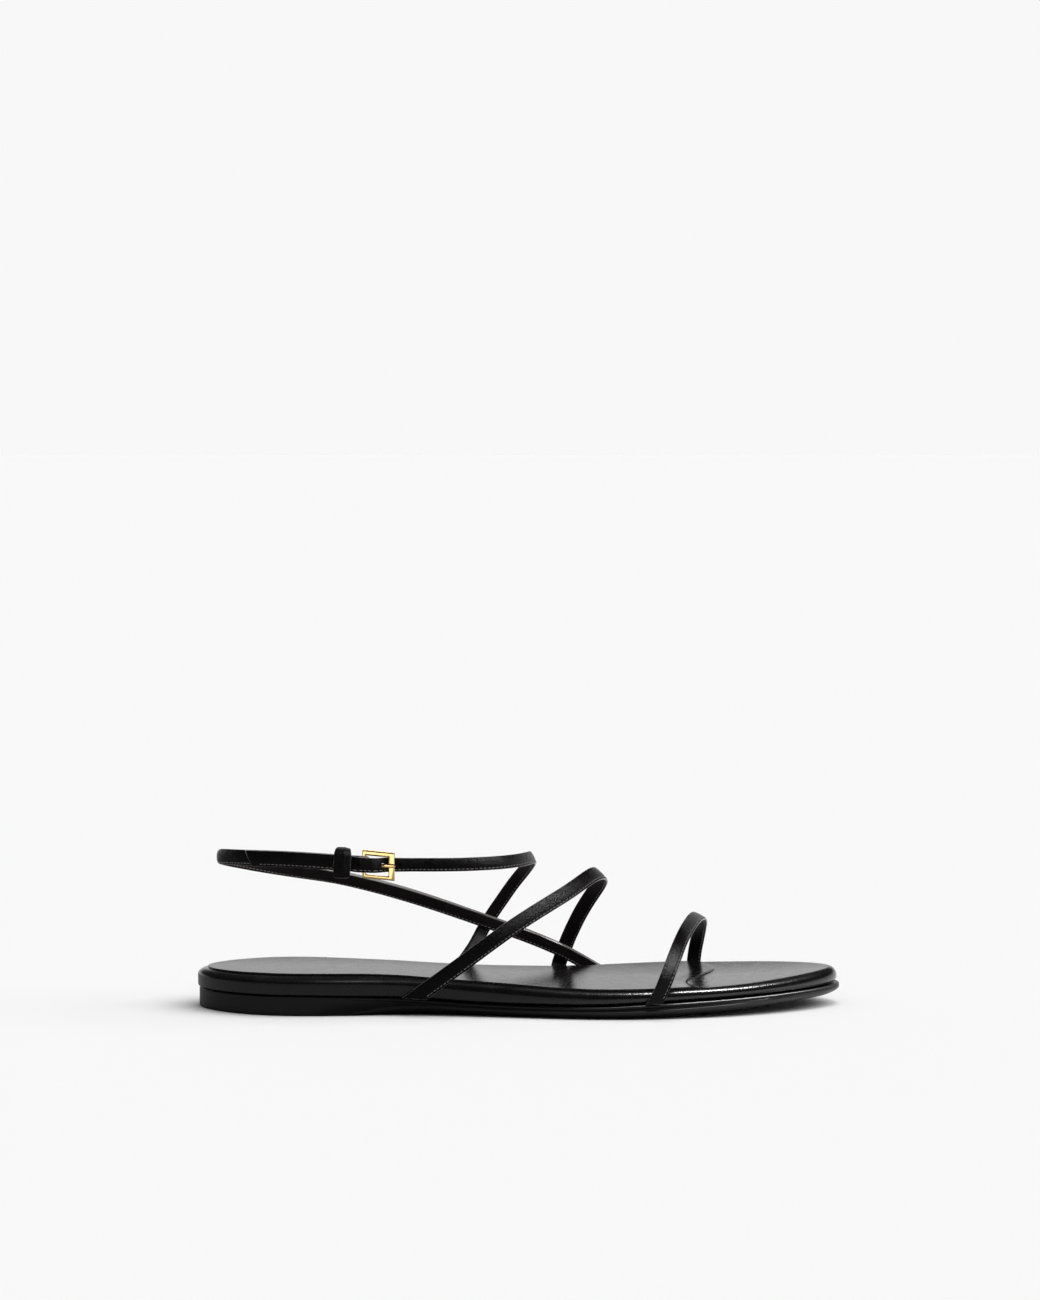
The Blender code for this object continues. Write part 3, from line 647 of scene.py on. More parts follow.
for vert in sock.data.vertices:
    if vert.co.z > side_value("top", np.array([vert.co.x]))[0] + SOCK_LIFT + SOCK_THICK / 2:
        behind = np.interp(vert.co.y, front_y, fronts) - vert.co.x
        vert.co.z -= (SOCK_THICK - SKIVED) * max(0.0, 1 - behind / SKIVE_REACH)
eased = sock.modifiers.new("eased_edge", "BEVEL")
eased.width = SOCK_EASE
eased.segments = 2
eased.angle_limit = math.radians(60)
bpy.ops.object.modifier_apply(modifier=eased.name)
bpy.ops.object.shade_smooth_by_angle(angle=math.radians(40))

# Its leather is pressed smooth and polished, with only pores and faint streaks left.
sock_gloss = leather(
    "polished_lining",
    "#0c0b0c",
    "#141213",
    grain=0.5 * MM,
    depth=0.004 * MM,
    roughness=0.27,
    coat=SOCK_COAT,
)
coat_painted_shade_inside(sock_gloss, SOCK_COAT)
sock.data.materials.append(sock_gloss)
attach(sock, "root")
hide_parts("sock_lining")


# Straps: each is a strip of black nappa folded over a lining, stitched in one row along an edge, then laid on
# the last and tucked between footbed and outsole. The flat strip is shaped first and then bent to its line.
INSTEP = 0.0584
STRAP_WIDTH = 0.006
STRAP_THICK = 0.0017
TUCKED_THICK = 0.0010
OUTER, INNER = "outer", "inner"
STEP = 0.0006
STRIP_ROWS = 30
EASE = 0.00030
SKIVED_REACH = 0.0011
# turned: width of the lining band along one edge, turned in, that takes the edge's grey, a painted highlight.
SKIVED_STRAP = {"crown": 0.00030, "inner": 0.26, "skive": 0.22, "turned": 0.0}
FULL_STRAP = {"crown": 0.00010, "inner": 0.00, "skive": 0.36, "turned": 0.0006}
SEAM_FROM_EDGE = 0.00085
SEAM_HALF = 0.00034
SEAM_DEPTH = 0.00013
CROWN_BASE = 0.33
LINING_ROUND = 0.4
EDGE_BAND = 0.05 * MM
FACING_SPAN = 0.004
FACING_STEPS = 9
WALL_SPAN = 0.003
NUDGE = 1e-5
THIN_FROM = 0.006
THIN_REACH = 0.010
SEAT_SPAN = 0.004
END_REACH = 0.022
END_HIGH = 0.016
PASS_REACH = 0.0125
PASS_EASE = 0.0080
BACK_FROM = -0.095
BACK_EASE = 0.015
BACK_CUP = 0.0012


def wall_point(x, side, tuck):
    """A point on the footbed's side wall with the way that the wall looks there."""
    half = outer_half(wall) if side == OUTER else inner_half(wall)
    y = np.interp(x, half[:, 0], half[:, 1])
    ahead = np.interp(x + WALL_SPAN, half[:, 0], half[:, 1])
    behind = np.interp(x - WALL_SPAN, half[:, 0], half[:, 1])
    sign = -1.0 if side == OUTER else 1.0
    looks = np.array([-sign * (ahead - behind) / (2 * WALL_SPAN), sign, 0.0])
    looks /= np.linalg.norm(looks)
    return np.array([x, y, 0.0]) + looks * (GAP - tuck * MM), looks


def strap_line(table):
    """Knots, places and facings of a strap's rows.

    A row holds shares of the length, the ball's width and the instep's height, then two angles in degrees
    that the strap looks out along, and the millimetres that an end is tucked in.
    """
    places = []
    facings = []
    for along, across, up, turn, rise, tuck in table[1:]:
        x = (along - 0.5) * LENGTH
        if across in (OUTER, INNER):
            place, looks = wall_point(x, across, tuck)
            place[2] = up * INSTEP
        else:
            place = np.array([x, across * BALL_WIDTH + AXIS_Y, up * INSTEP])
            turn = math.radians(turn)
            rise = math.radians(rise)
            level_way = np.array([math.cos(turn), math.sin(turn), 0.0])
            looks = level_way * math.cos(rise) + np.array([0.0, 0.0, math.sin(rise)])
        places.append(place)
        facings.append(looks)
    return chords(np.array(places)), np.array(places), np.array(facings)


def unit(rows):
    """The same ways at length one."""
    return rows / np.linalg.norm(rows, axis=1)[:, None]


def route(line, start, end):
    """Places along a strap's line every half step, with the outward and the crosswise way at each."""
    knots, places, facings = line
    at = np.linspace(start, end, round((end - start) / (STEP / 2)) + 1)
    points = cubic(knots, places, at)
    ahead = unit(cubic(knots, places, at + NUDGE) - cubic(knots, places, at - NUDGE))
    outward = np.zeros_like(points)
    for shift in np.linspace(-FACING_SPAN, FACING_SPAN, FACING_STEPS):
        outward += np.stack([np.interp(at + shift, knots, facings[:, k]) for k in range(3)], axis=1)
    outward = unit(outward - (outward * ahead).sum(axis=1)[:, None] * ahead)
    return at, points, outward, np.cross(ahead, outward)


def strap_thickness(points):
    """Full thickness above the footbed, thinned down the side wall to the tucked end."""
    share = np.clip((points[:, 2] - THIN_FROM) / THIN_REACH, 0.0, 1.0)
    return TUCKED_THICK + (STRAP_THICK - TUCKED_THICK) * share


def rounding(b, half):
    """How far a face has turned down towards the strip's edge, at places across it."""
    q = np.clip((np.abs(b) - (half - EASE)) / EASE, 0.0, 1.0)
    return EASE * (1 - np.sqrt(1 - q * q))


def seam_dip(b, seam):
    """The soft trough that a row of stitches pulls into a face."""
    return SEAM_DEPTH * np.exp(-(((b - seam) / SEAM_HALF) ** 2))


def outer_face(b, half, thick, seam, crown):
    """Height of a strip's outer face: crowned, rounded at its edges, with a trough along its seam."""
    full = thick / STRAP_THICK
    return thick + full * (crown * (CROWN_BASE - (b / half) ** 2) - rounding(b, half)) - seam_dip(b, seam)


def inner_face(b, half, thick, inner, skive):
    """Height of a strip's inner face: flat, with its lining skived off towards the edges."""
    q = np.clip((np.abs(b) - (half - SKIVED_REACH)) / SKIVED_REACH, 0.0, 1.0)
    return thick * (inner + skive * q * q) + LINING_ROUND * thick / STRAP_THICK * rounding(b, half)


def strip(name, length, start):
    """A flat strip of two sheets joined at their edges: x along, y across in shares, z 0 or 1 by sheet."""
    made = begun(name, grid, x_subdivisions=round(length / STEP), y_subdivisions=STRIP_ROWS, size=2)
    bpy.ops.object.mode_set(mode="EDIT")
    bpy.ops.mesh.extrude_region_move(TRANSFORM_OT_translate={"value": (0.0, 0.0, 1.0)})
    bpy.ops.object.mode_set(mode="OBJECT")
    for vert in made.data.vertices:
        vert.co.x = start + (vert.co.x + 1) / 2 * length
        vert.co.y = math.sin(math.pi / 2 * vert.co.y)
    return made


def flat_places(made):
    """The places of a mesh's points, one row each."""
    places = np.zeros(3 * len(made.data.vertices))
    made.data.vertices.foreach_get("co", places)
    return places.reshape(-1, 3)


def set_places(made, places):
    """Moves a mesh's points to new places."""
    made.data.vertices.foreach_set("co", places.astype(np.float32).ravel())
    made.data.update()


def along_route(way, at, values):
    """A route's values between its own steps."""
    return np.stack([np.interp(at, way[0], values[:, k]) for k in range(3)], axis=1)


def laid(way, flat):
    """Flat places (along, across, out) bent to a strap's route, its edges drawn in behind the heel."""
    _, points, outward, across = way
    s, b, n = flat.T
    place = along_route(way, s, points)
    looks = along_route(way, s, outward)
    behind = np.clip((BACK_FROM - place[:, 0]) / BACK_EASE, 0.0, 1.0) * np.clip(-looks[:, 0], 0.0, 1.0) ** 2
    n = n - BACK_CUP * behind * (2 * b / STRAP_WIDTH) ** 4
    return place + along_route(way, s, across) * b[:, None] + looks * n[:, None]


def shaped(made, way, half_at, thick_at, seam_side, form):
    """Gives a flat strip its width, its two faces and its edges, still flat."""
    flat = flat_places(made)
    half = np.interp(flat[:, 0], way[0], half_at)
    thick = np.interp(flat[:, 0], way[0], thick_at)
    b = flat[:, 1] * half
    seam = seam_side * (half - SEAM_FROM_EDGE)
    upper = outer_face(b, half, thick, seam, form["crown"])
    lower = inner_face(b, half, thick, form["inner"], form["skive"])
    set_places(made, np.column_stack([flat[:, 0], b, np.where(flat[:, 2] > 0.5, upper, lower)]))


def seat_cut(made, x, y):
    """Cuts a strap's end off level with the outsole's seat, where it is tucked under the footbed."""
    here, behind, ahead = side_value("seat", np.array([x, x - SEAT_SPAN, x + SEAT_SPAN])) + GAP
    bpy.ops.object.mode_set(mode="EDIT")
    bpy.ops.mesh.select_all(action="DESELECT")
    shape = bmesh.from_edit_mesh(made.data)
    for face in shape.faces:
        middle = face.calc_center_median()
        beside = (middle.y > AXIS_Y) == (y > AXIS_Y)
        face.select_set(beside and abs(middle.x - x) < END_REACH and middle.z < END_HIGH)
    bmesh.update_edit_mesh(made.data)
    bpy.ops.mesh.bisect(
        plane_co=(x, y, here),
        plane_no=((ahead - behind) / (2 * SEAT_SPAN), 0.0, -1.0),
        use_fill=True,
        clear_outer=True,
    )
    bpy.ops.object.mode_set(mode="OBJECT")


def lifted_over(points, other, height):
    """How far a strap stands off where it passes over another, easing off to either side."""
    apart = np.array([np.linalg.norm(other - point, axis=1).min() for point in points])
    share = np.clip((PASS_REACH - apart) / PASS_EASE, 0.0, 1.0)
    return height * share * share * (3 - 2 * share)


# Strap nappa: soft, with its grain standing up, so that its gloss breaks into points. The lining is a duller,
# warmer black. The grain of both is drawn at half a millimetre, so that it shows.
STRAP_GRAIN = 0.5 * MM
strap_nappa = leather(
    "strap_nappa",
    "#070506",
    "#0d0a0b",
    grain=STRAP_GRAIN,
    depth=0.16 * MM,
    roughness=0.28,
    coat=0.0,
    shine=0.2,
)
strap_lining = leather(
    "strap_lining",
    "#1d1819",
    "#262021",
    grain=STRAP_GRAIN,
    depth=0.07 * MM,
    roughness=0.40,
    coat=0.0,
    shine=0.1,
)

# Strap edge: cut through nappa and lining and burnished, with its own gloss. Its grey, lighter than the face,
# is a painted highlight.
edge_painted_highlight, tree, shader = new_material("burnished_edge_painted_highlight")
# Painted highlight: the grey base colour stands in for the light lines along the edges.
set_sockets(shader, {"Base Color": colour("#7a7675"), "IOR": 1.5})
set_sockets(shader, {"Coat Weight": 0.2, "Coat Roughness": 0.2})
place = add(tree, "ShaderNodeTexCoord")
brushed = add(
    tree,
    "ShaderNodeTexNoise",
    {"Scale": 1 / (0.8 * MM), "Detail": 2.0},
    {"Vector": place.outputs["Object"]},
)
uneven = add(
    tree, "ShaderNodeMapRange", {"To Min": 0.22, "To Max": 0.34}, {"Value": brushed.outputs["Fac"]},
)
tree.links.new(uneven.outputs["Result"], shader.inputs["Roughness"])


EDGE_SLOT, LINING_SLOT = 1, 2


def dress(made, way, half_at, seam_side, form):
    """Faces and edges of a flat strip get their own finishes; its edge may be turned in over the lining, and
    that band of lining takes the edge's grey, a painted highlight.
    """
    for surface in (strap_nappa, edge_painted_highlight, strap_lining):
        made.data.materials.append(surface)
    for face in made.data.polygons:
        s, b, n = face.center
        half = np.interp(s, way[0], half_at)
        inside = face.normal.z < 0
        # A turned band on the lining gets the edge's grey: a painted highlight along the sling's rim.
        if abs(b) > half - EDGE_BAND or inside and -b * seam_side > half - form["turned"]:
            face.material_index = EDGE_SLOT
        elif inside:
            face.material_index = LINING_SLOT


def turned_out(made):
    """Faces of a closed strip look outwards."""
    bpy.ops.object.mode_set(mode="EDIT")
    bpy.ops.mesh.select_all(action="SELECT")
    bpy.ops.mesh.normals_make_consistent(inside=False)
    bpy.ops.object.mode_set(mode="OBJECT")


def blank(name, way, half_at, thick_at, seam_side, form):
    """A strap's flat strip, as long as its route and already shaped."""
    made = strip(name, way[0][-1] - way[0][0], way[0][0])
    shaped(made, way, half_at, thick_at, seam_side, form)
    turned_out(made)
    return made


def fitted(made, way, ends, node):
    """Bends a finished flat strip to its route, cuts its tucked ends and puts it in a node's place."""
    set_places(made, laid(way, flat_places(made)))
    turned_out(made)
    bpy.ops.object.shade_smooth_by_angle(angle=math.radians(50))
    for x, y, _ in ends:
        seat_cut(made, x, y)
    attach(made, "root")
    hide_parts(node)


# Stitch: one turn of black waxed thread, lying in the trough with both its ends pulled down into the leather.
# A row of them, one after the other, holds nappa and lining together along an edge of each strap.
STITCH_PITCH = 0.0016
STITCH_LONG = 0.0012
SEAM_START = 0.0035
THREAD = 0.00032
STANDS_OUT = 0.25 * THREAD
SINKS_IN = 0.10 * THREAD
ball = bpy.ops.mesh.primitive_uv_sphere_add
stitch = begun("stitch", ball, segments=8, ring_count=8, radius=0.5)
bpy.ops.object.mode_set(mode="EDIT")
bpy.ops.transform.rotate(value=math.pi / 2, orient_axis="Y", center_override=(0.0, 0.0, 0.0))
bpy.ops.transform.resize(value=(STITCH_LONG, THREAD, THREAD))
bpy.ops.object.mode_set(mode="OBJECT")
STITCH_PLACES = flat_places(stitch)
STITCH_FACES = [tuple(face.vertices) for face in stitch.data.polygons]
bpy.data.objects.remove(stitch)

# Waxed thread: black, painted grey and lighter than the leather: a painted highlight for the light its
# twisted plies catch.
thread_painted_glint, tree, shader = new_material("waxed_thread_painted_glint")
set_sockets(shader, {"IOR": 1.5, "Roughness": 0.42, "Sheen Weight": 0.2})
place = add(tree, "ShaderNodeTexCoord")
ply = add(
    tree,
    "ShaderNodeTexNoise",
    {"Scale": 1 / (0.3 * MM), "Detail": 1.0},
    {"Vector": place.outputs["Object"]},
)
# Painted highlight: grey tones stand in for the black thread's glints.
painted_ply_glint = add(tree, "ShaderNodeValToRGB", links={"Fac": ply.outputs["Fac"]})
painted_ply_glint.color_ramp.elements[0].color = colour("#4a4647")
painted_ply_glint.color_ramp.elements[1].color = colour("#989292")
tree.links.new(painted_ply_glint.outputs["Color"], shader.inputs["Base Color"])


def stitched(name, way, half_at, thick_at, seam_side, form, first, last):
    """Rows of stitches along a strap's seam, on its outer face and on its lining, as one joined mesh."""
    places = []
    faces = []
    count = int((last - first) / STITCH_PITCH)
    for i in range(count):
        s = first + (i + 0.5) * STITCH_PITCH
        place = along_route(way, np.array([s]), way[1])[0]
        if place[2] < side_value("seat", place[:1])[0] + SEAM_START:
            continue
        half = np.interp(s, way[0], half_at)
        thick = np.interp(s, way[0], thick_at)
        seam = seam_side * (half - SEAM_FROM_EDGE)
        face_out = outer_face(seam, half, thick, seam, form["crown"])
        face_in = inner_face(seam, half, thick, form["inner"], form["skive"])
        for out in (face_out + STANDS_OUT, face_in - SINKS_IN):
            faces += [tuple(k + len(places) * len(STITCH_PLACES) for k in face) for face in STITCH_FACES]
            places.append(STITCH_PLACES + (s, seam, out))
    mesh = bpy.data.meshes.new(name)
    mesh.from_pydata(laid(way, np.vstack(places)), [], faces)
    made = bpy.data.objects.new(name, mesh)
    bpy.context.scene.collection.objects.link(made)
    bpy.ops.object.select_all(action="DESELECT")
    made.select_set(True)
    bpy.context.view_layer.objects.active = made
    turned_out(made)
    bpy.ops.object.shade_smooth()
    mesh.materials.append(thread_painted_glint)
    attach(made, "root")


# Toe strap: a strip of lined nappa on its own across the ball, stitched along its front edge. Both its ends
# are tucked between footbed and outsole.
TOE_STRAP = (
    ("along", "across", "up", "turn", "rise", "tuck"),
    (0.688, OUTER, -0.010, -90, 0, 0.9),
    (0.707, OUTER, 0.125, -90, 0, 0.0),
    (0.723, -0.478, 0.282, -90, 0, 0.0),
    (0.734, -0.450, 0.402, -85, 5, 0.0),
    (0.743, -0.380, 0.485, -70, 20, 0.0),
    (0.755, -0.240, 0.543, -45, 45, 0.0),
    (0.773, 0.025, 0.569, 0, 62, 0.0),
    (0.784, 0.253, 0.520, 45, 45, 0.0),
    (0.785, 0.385, 0.440, 65, 25, 0.0),
    (0.783, 0.478, 0.335, 80, 10, 0.0),
    (0.780, 0.520, 0.225, 90, 0, 0.0),
    (0.778, INNER, 0.135, 90, 0, 0.0),
    (0.775, INNER, 0.010, 90, 0, 0.9),
)
FRONT_EDGE, LOWER_EDGE = 1, -1
TUCK_REACH = 0.008
TOE_WIDTH = 0.92 * STRAP_WIDTH
toe_line = strap_line(TOE_STRAP)
toe_way = route(toe_line, toe_line[0][0], toe_line[0][-1])
toe_half = np.full(len(toe_way[0]), TOE_WIDTH / 2)
toe_make = (toe_way, toe_half, strap_thickness(toe_way[1]), FRONT_EDGE, SKIVED_STRAP)
toe = blank("toe_strap_leather", *toe_make)
dress(toe, toe_way, toe_half, FRONT_EDGE, SKIVED_STRAP)
fitted(toe, toe_way, (toe_line[1][1], toe_line[1][-2]), "toe_strap")
stitched("toe_strap_stitches", *toe_make, TUCK_REACH, toe_line[0][-1] - TUCK_REACH)


# Heel sling: a strip of lined nappa folded round the buckle's rear bar, then led round the back of the heel
# and down the inner side to the ball. The fold is skived thin and slotted for the prong.
ANKLE_LINE = (
    ("along", "across", "up", "turn", "rise", "tuck"),
    (0.368, INNER, 0.000, 90, 0, 0.9),
    (0.395, INNER, 0.150, 90, 0, 0.0),
    (0.411, 0.265, 0.240, 90, 0, 0.0),
    (0.431, 0.300, 0.362, 90, 0, 0.0),
    (0.444, 0.320, 0.462, 90, 0, 0.0),
    (0.466, 0.331, 0.610, 88, 2, 0.0),
    (0.487, 0.307, 0.748, 75, 10, 0.0),
    (0.503, 0.241, 0.850, 50, 20, 0.0),
    (0.516, 0.072, 0.964, 0, 27, 0.0),
    (0.508, -0.096, 0.990, -30, 25, 0.0),
    (0.466, -0.301, 1.002, -70, 8, 0.0),
    (0.401, -0.353, 1.000, -88, 0, 0.0),
    (0.340, -0.359, 1.000, -90, 0, 0.0),
    (0.284, -0.359, 1.002, -90, 0, 0.0),
    (0.212, -0.354, 1.020, -92, 0, 0.0),
    (0.132, -0.301, 1.032, -108, 0, 0.0),
    (0.066, -0.181, 1.020, -140, 0, 0.0),
    (0.0345, 0.000, 0.993, -180, 0, 0.0),
    (0.066, 0.171, 0.934, -220, 0, 0.0),
    (0.124, 0.253, 0.871, -248, 12, 0.0),
    (0.208, 0.308, 0.799, -265, 24, 0.0),
    (0.340, 0.337, 0.648, -270, 14, 0.0),
    (0.448, 0.329, 0.495, -270, 0, 0.0),
    (0.532, 0.345, 0.360, -270, 0, 0.0),
    (0.568, 0.365, 0.288, -268, 0, 0.0),
    (0.600, 0.425, 0.205, -262, 0, 0.0),
    (0.634, INNER, 0.115, 90, 0, 0.0),
    (0.670, INNER, 0.010, 90, 0, 0.9),
)
APEX_ROW = 8
BUCKLE_ROW = 13
FRAME_REAR = -0.0061
OPENING_REAR = -0.0048
BAR_S = (FRAME_REAR + OPENING_REAR) / 2
BAR_HALF = (OPENING_REAR - FRAME_REAR) / 2
FOLD_RADIUS = BAR_HALF + GAP + TUCKED_THICK
FOLD_TURNS = range(90, -90, -6)
FOLD_END = 0.0075
FOLD_THIN = 0.0035
FOLD_EASE = 0.003
SLING_TAPER = (("x", "share"), (-0.125, 1.00), (-0.050, 0.98), (-0.020, 0.91), (0.020, 0.88))
SLING_SEAM = 0.006
PRONG_HALF_WIDTH = 0.0007
SLOT_HALF = PRONG_HALF_WIDTH + 1.5 * GAP
SLOT_SPARE = 0.0012
CUT_DEEP = 0.010

ankle_line = strap_line(ANKLE_LINE)
knots = ankle_line[0]
middle = knots[BUCKLE_ROW]
sling_way = route(ankle_line, middle - BAR_S, knots[-1])
fold_start, fold_out, fold_across = (values[0] for values in sling_way[1:])
backward = np.cross(fold_out, fold_across)
fold = [(fold_start + backward * (FOLD_END + BAR_S) + fold_out * 2 * FOLD_RADIUS, -fold_out)]
for turn in FOLD_TURNS:
    looks = -backward * math.cos(math.radians(turn)) + fold_out * math.sin(math.radians(turn))
    fold.append((fold_start + fold_out * FOLD_RADIUS + looks * FOLD_RADIUS, -looks))
fold_points = np.array([place for place, looks in fold])
fold_looks = np.array([looks for place, looks in fold])
fold_run = chords(np.vstack([fold_points, fold_start]))
sling_start = sling_way[0][0] - fold_run[-1]
sling_points = sling_way[1]
sling_way = (
    np.concatenate([sling_start + fold_run[:-1], sling_way[0]]),
    np.vstack([fold_points, sling_way[1]]),
    np.vstack([fold_looks, sling_way[2]]),
    np.vstack([[fold_across] * len(fold), sling_way[3]]),
)
skived = np.clip((sling_way[0] - (middle - BAR_S) - FOLD_THIN) / FOLD_EASE, 0.0, 1.0)
sling_half = profile(SLING_TAPER, sling_way[1][:, 0]) * STRAP_WIDTH / 2
sling_thick = np.minimum(strap_thickness(sling_way[1]), TUCKED_THICK + (STRAP_THICK - TUCKED_THICK) * skived)
sling_make = (sling_way, sling_half, sling_thick, LOWER_EDGE, FULL_STRAP)
sling = blank("heel_sling_leather", *sling_make)


def cut(made, cutter):
    """Cuts a closed shape out of a strip while it is flat."""
    step = made.modifiers.new("cut", "BOOLEAN")
    step.operation = "DIFFERENCE"
    step.solver = "EXACT"
    step.object = cutter
    bpy.ops.object.select_all(action="DESELECT")
    made.select_set(True)
    bpy.context.view_layer.objects.active = made
    bpy.ops.object.modifier_apply(modifier=step.name)
    bpy.data.objects.remove(cutter)


cube = bpy.ops.mesh.primitive_cube_add
fold_middle = sling_start + fold_run[1] + math.pi / 2 * FOLD_RADIUS
slot = begun("slot", cube, size=1, location=(fold_middle, 0.0, 0.0))
slot.scale = (math.pi * FOLD_RADIUS + SLOT_SPARE, 2 * SLOT_HALF, CUT_DEEP)
cut(sling, slot)
dress(sling, sling_way, sling_half, LOWER_EDGE, FULL_STRAP)
fitted(sling, sling_way, (ankle_line[1][-2],), "upper_straps")
stitched("heel_sling_stitches", *sling_make, middle + SLING_SEAM, knots[-1] - TUCK_REACH)


# Ankle strap: a strip of lined nappa from the inner waist over the instep, through the buckle and on over the
# sling to its slanted, skived tip. It is stitched along its lower edge and punched for the prong.
LAP = 2 * FOLD_RADIUS + GAP
TIP_LINE = 0.0505
TIP_SLANT = 0.55
TIP_REACH = 0.0056
TIP_SKIVE = 0.0006
TIP_BAND = 0.6 * STEP
TIP_SEAM = 0.004
LAP_LIFT = (
    ("from_buckle", "lift"),
    (-0.0600, 0.0),
    (-0.0038, 0.0),
    (0.0025, LAP),
    (0.0073, LAP),
    (0.0103, STRAP_THICK + GAP),
    (0.0600, STRAP_THICK + GAP),
)
ANKLE_TAPER = (
    ("from_buckle", "share"),
    (-0.200, 0.84),
    (-0.012, 0.87),
    (0.000, 0.94),
    (0.016, 1.00),
    (0.060, 1.00),
)
HOLE_PITCH = 0.0077
HOLE_RADIUS = 0.00060
HOLE_FLOOR = 0.0009
HOLE_SHIFT = 0.0006
PRONG_HOLE_S = 0.0005
PRONG_HOLE_LONG = 0.0014
CLEAR = 0.0001

at, points, outward, across = route(ankle_line, knots[0], middle + TIP_LINE)
rising = at < knots[APEX_ROW]
lift = profile(LAP_LIFT, at - middle)
lift += np.where(rising, lifted_over(points, sling_points, STRAP_THICK + CLEAR), 0.0)
points = points + outward * lift[:, None]
ahead = np.cross(outward, across)
outward = unit(outward - ahead * np.gradient(lift, at)[:, None])
slant = np.clip((at - at[-1] + TIP_REACH) / TIP_REACH, 0.0, 1.0)
ankle_way = (at, points, outward, across + ahead * (TIP_SLANT * slant)[:, None])
ankle_half = profile(ANKLE_TAPER, at - middle) * STRAP_WIDTH / 2
ankle_make = (ankle_way, ankle_half, strap_thickness(points), LOWER_EDGE, SKIVED_STRAP)
ankle = blank("ankle_strap_leather", *ankle_make)
flat = flat_places(ankle)
tip = (flat[:, 0] > at[-1] - STEP / 2) & (flat[:, 2] > STRAP_THICK / 2)
flat[tip, 2] -= TIP_SKIVE
set_places(ankle, flat)
rod = bpy.ops.mesh.primitive_cylinder_add
for place, long, half, low in (
    (middle - PRONG_HOLE_S, PRONG_HOLE_LONG, PRONG_HALF_WIDTH + CLEAR, -CUT_DEEP / 2),
    (middle - HOLE_PITCH - HOLE_SHIFT, HOLE_RADIUS, HOLE_RADIUS, HOLE_FLOOR),
    (middle + HOLE_PITCH - HOLE_SHIFT, HOLE_RADIUS, HOLE_RADIUS, HOLE_FLOOR),
):
    at_hole = (place, 0.0, low + CUT_DEEP / 2)
    punch = begun("punch", rod, vertices=32, radius=1, depth=CUT_DEEP, location=at_hole)
    punch.scale = (long, half, 1.0)
    cut(ankle, punch)
dress(ankle, ankle_way, ankle_half, LOWER_EDGE, SKIVED_STRAP)
# The tip's end band takes the edge's grey: a painted highlight along the slanted tip.
for face in ankle.data.polygons:
    if face.center.x > at[-1] - TIP_BAND:
        face.material_index = EDGE_SLOT
fitted(ankle, ankle_way, (ankle_line[1][1],), "upper_straps")
stitched("ankle_strap_stitches", *ankle_make, TUCK_REACH, at[-1] - TIP_SEAM)


# Instep strap: a strip of lined nappa from the outer heel breast over the instep and down over the sling to
# the inner waist, stitched along its lower, front edge.
INSTEP_STRAP = (
    ("along", "across", "up", "turn", "rise", "tuck"),
    (0.302, OUTER, 0.000, -90, 0, 0.9),
    (0.339, OUTER, 0.118, -90, 0, 0.0),
    (0.383, -0.378, 0.262, -90, 0, 0.0),
    (0.428, -0.389, 0.405, -90, 0, 0.0),
    (0.482, -0.377, 0.572, -85, 5, 0.0),
    (0.526, -0.331, 0.688, -70, 12, 0.0),
    (0.576, -0.223, 0.803, -45, 25, 0.0),
    (0.615, -0.024, 0.872, -5, 39, 0.0),
    (0.625, 0.157, 0.804, 40, 35, 0.0),
    (0.614, 0.265, 0.698, 65, 20, 0.0),
    (0.595, 0.331, 0.548, 85, 5, 0.0),
    (0.579, 0.358, 0.394, 90, 0, 0.0),
    (0.568, 0.376, 0.257, 90, 0, 0.0),
    (0.563, INNER, 0.150, 90, 0, 0.0),
    (0.556, INNER, 0.000, 90, 0, 0.9),
)
INSTEP_APEX_ROW = 7
instep_line = strap_line(INSTEP_STRAP)
at, points, outward, across = route(instep_line, instep_line[0][0], instep_line[0][-1])
lift = lifted_over(points, sling_points, STRAP_THICK + CLEAR)
lift = np.where(at > instep_line[0][INSTEP_APEX_ROW], lift, 0.0)
instep_way = (at, points + outward * lift[:, None], outward, across)
instep_half = np.full(len(at), STRAP_WIDTH / 2)
instep_make = (instep_way, instep_half, strap_thickness(instep_way[1]), FRONT_EDGE, SKIVED_STRAP)
instep = blank("instep_strap_leather", *instep_make)
dress(instep, instep_way, instep_half, FRONT_EDGE, SKIVED_STRAP)
fitted(instep, instep_way, (instep_line[1][1], instep_line[1][-2]), "upper_straps")
stitched("instep_strap_stitches", *instep_make, TUCK_REACH, at[-1] - TUCK_REACH)


# Buckle frame: cast metal, polished and gold-plated, a flat rectangle with a wide front bar that lies on the
# ankle strap. Its outer edges are rounded over, and its thin rear bar is held in the sling's fold.
FRAME_FRONT = 0.0063
FRAME_TOP = 0.0054
FRAME_LOW = -FRAME_TOP
OPENING_FRONT = 0.0039
OPENING_TOP = 0.0034
OPENING_LOW = -0.0039
FRAME_THICK = 0.0013
FRAME_TILT = math.radians(-2.0)
FRONT_BAR_OUT = 0.0028
INNER_CORNER = 0.0008
FRAME_ROUND = 0.00050


def block(name, rear, front, low, high, thick):
    """A rectangular block between its edges, in the buckle's own plane."""
    made = begun(name, cube, size=1)
    bpy.ops.object.mode_set(mode="EDIT")
    bpy.ops.transform.resize(value=(front - rear, high - low, thick))
    bpy.ops.transform.translate(value=((front + rear) / 2, (high + low) / 2, 0.0))
    bpy.ops.object.mode_set(mode="OBJECT")
    return made


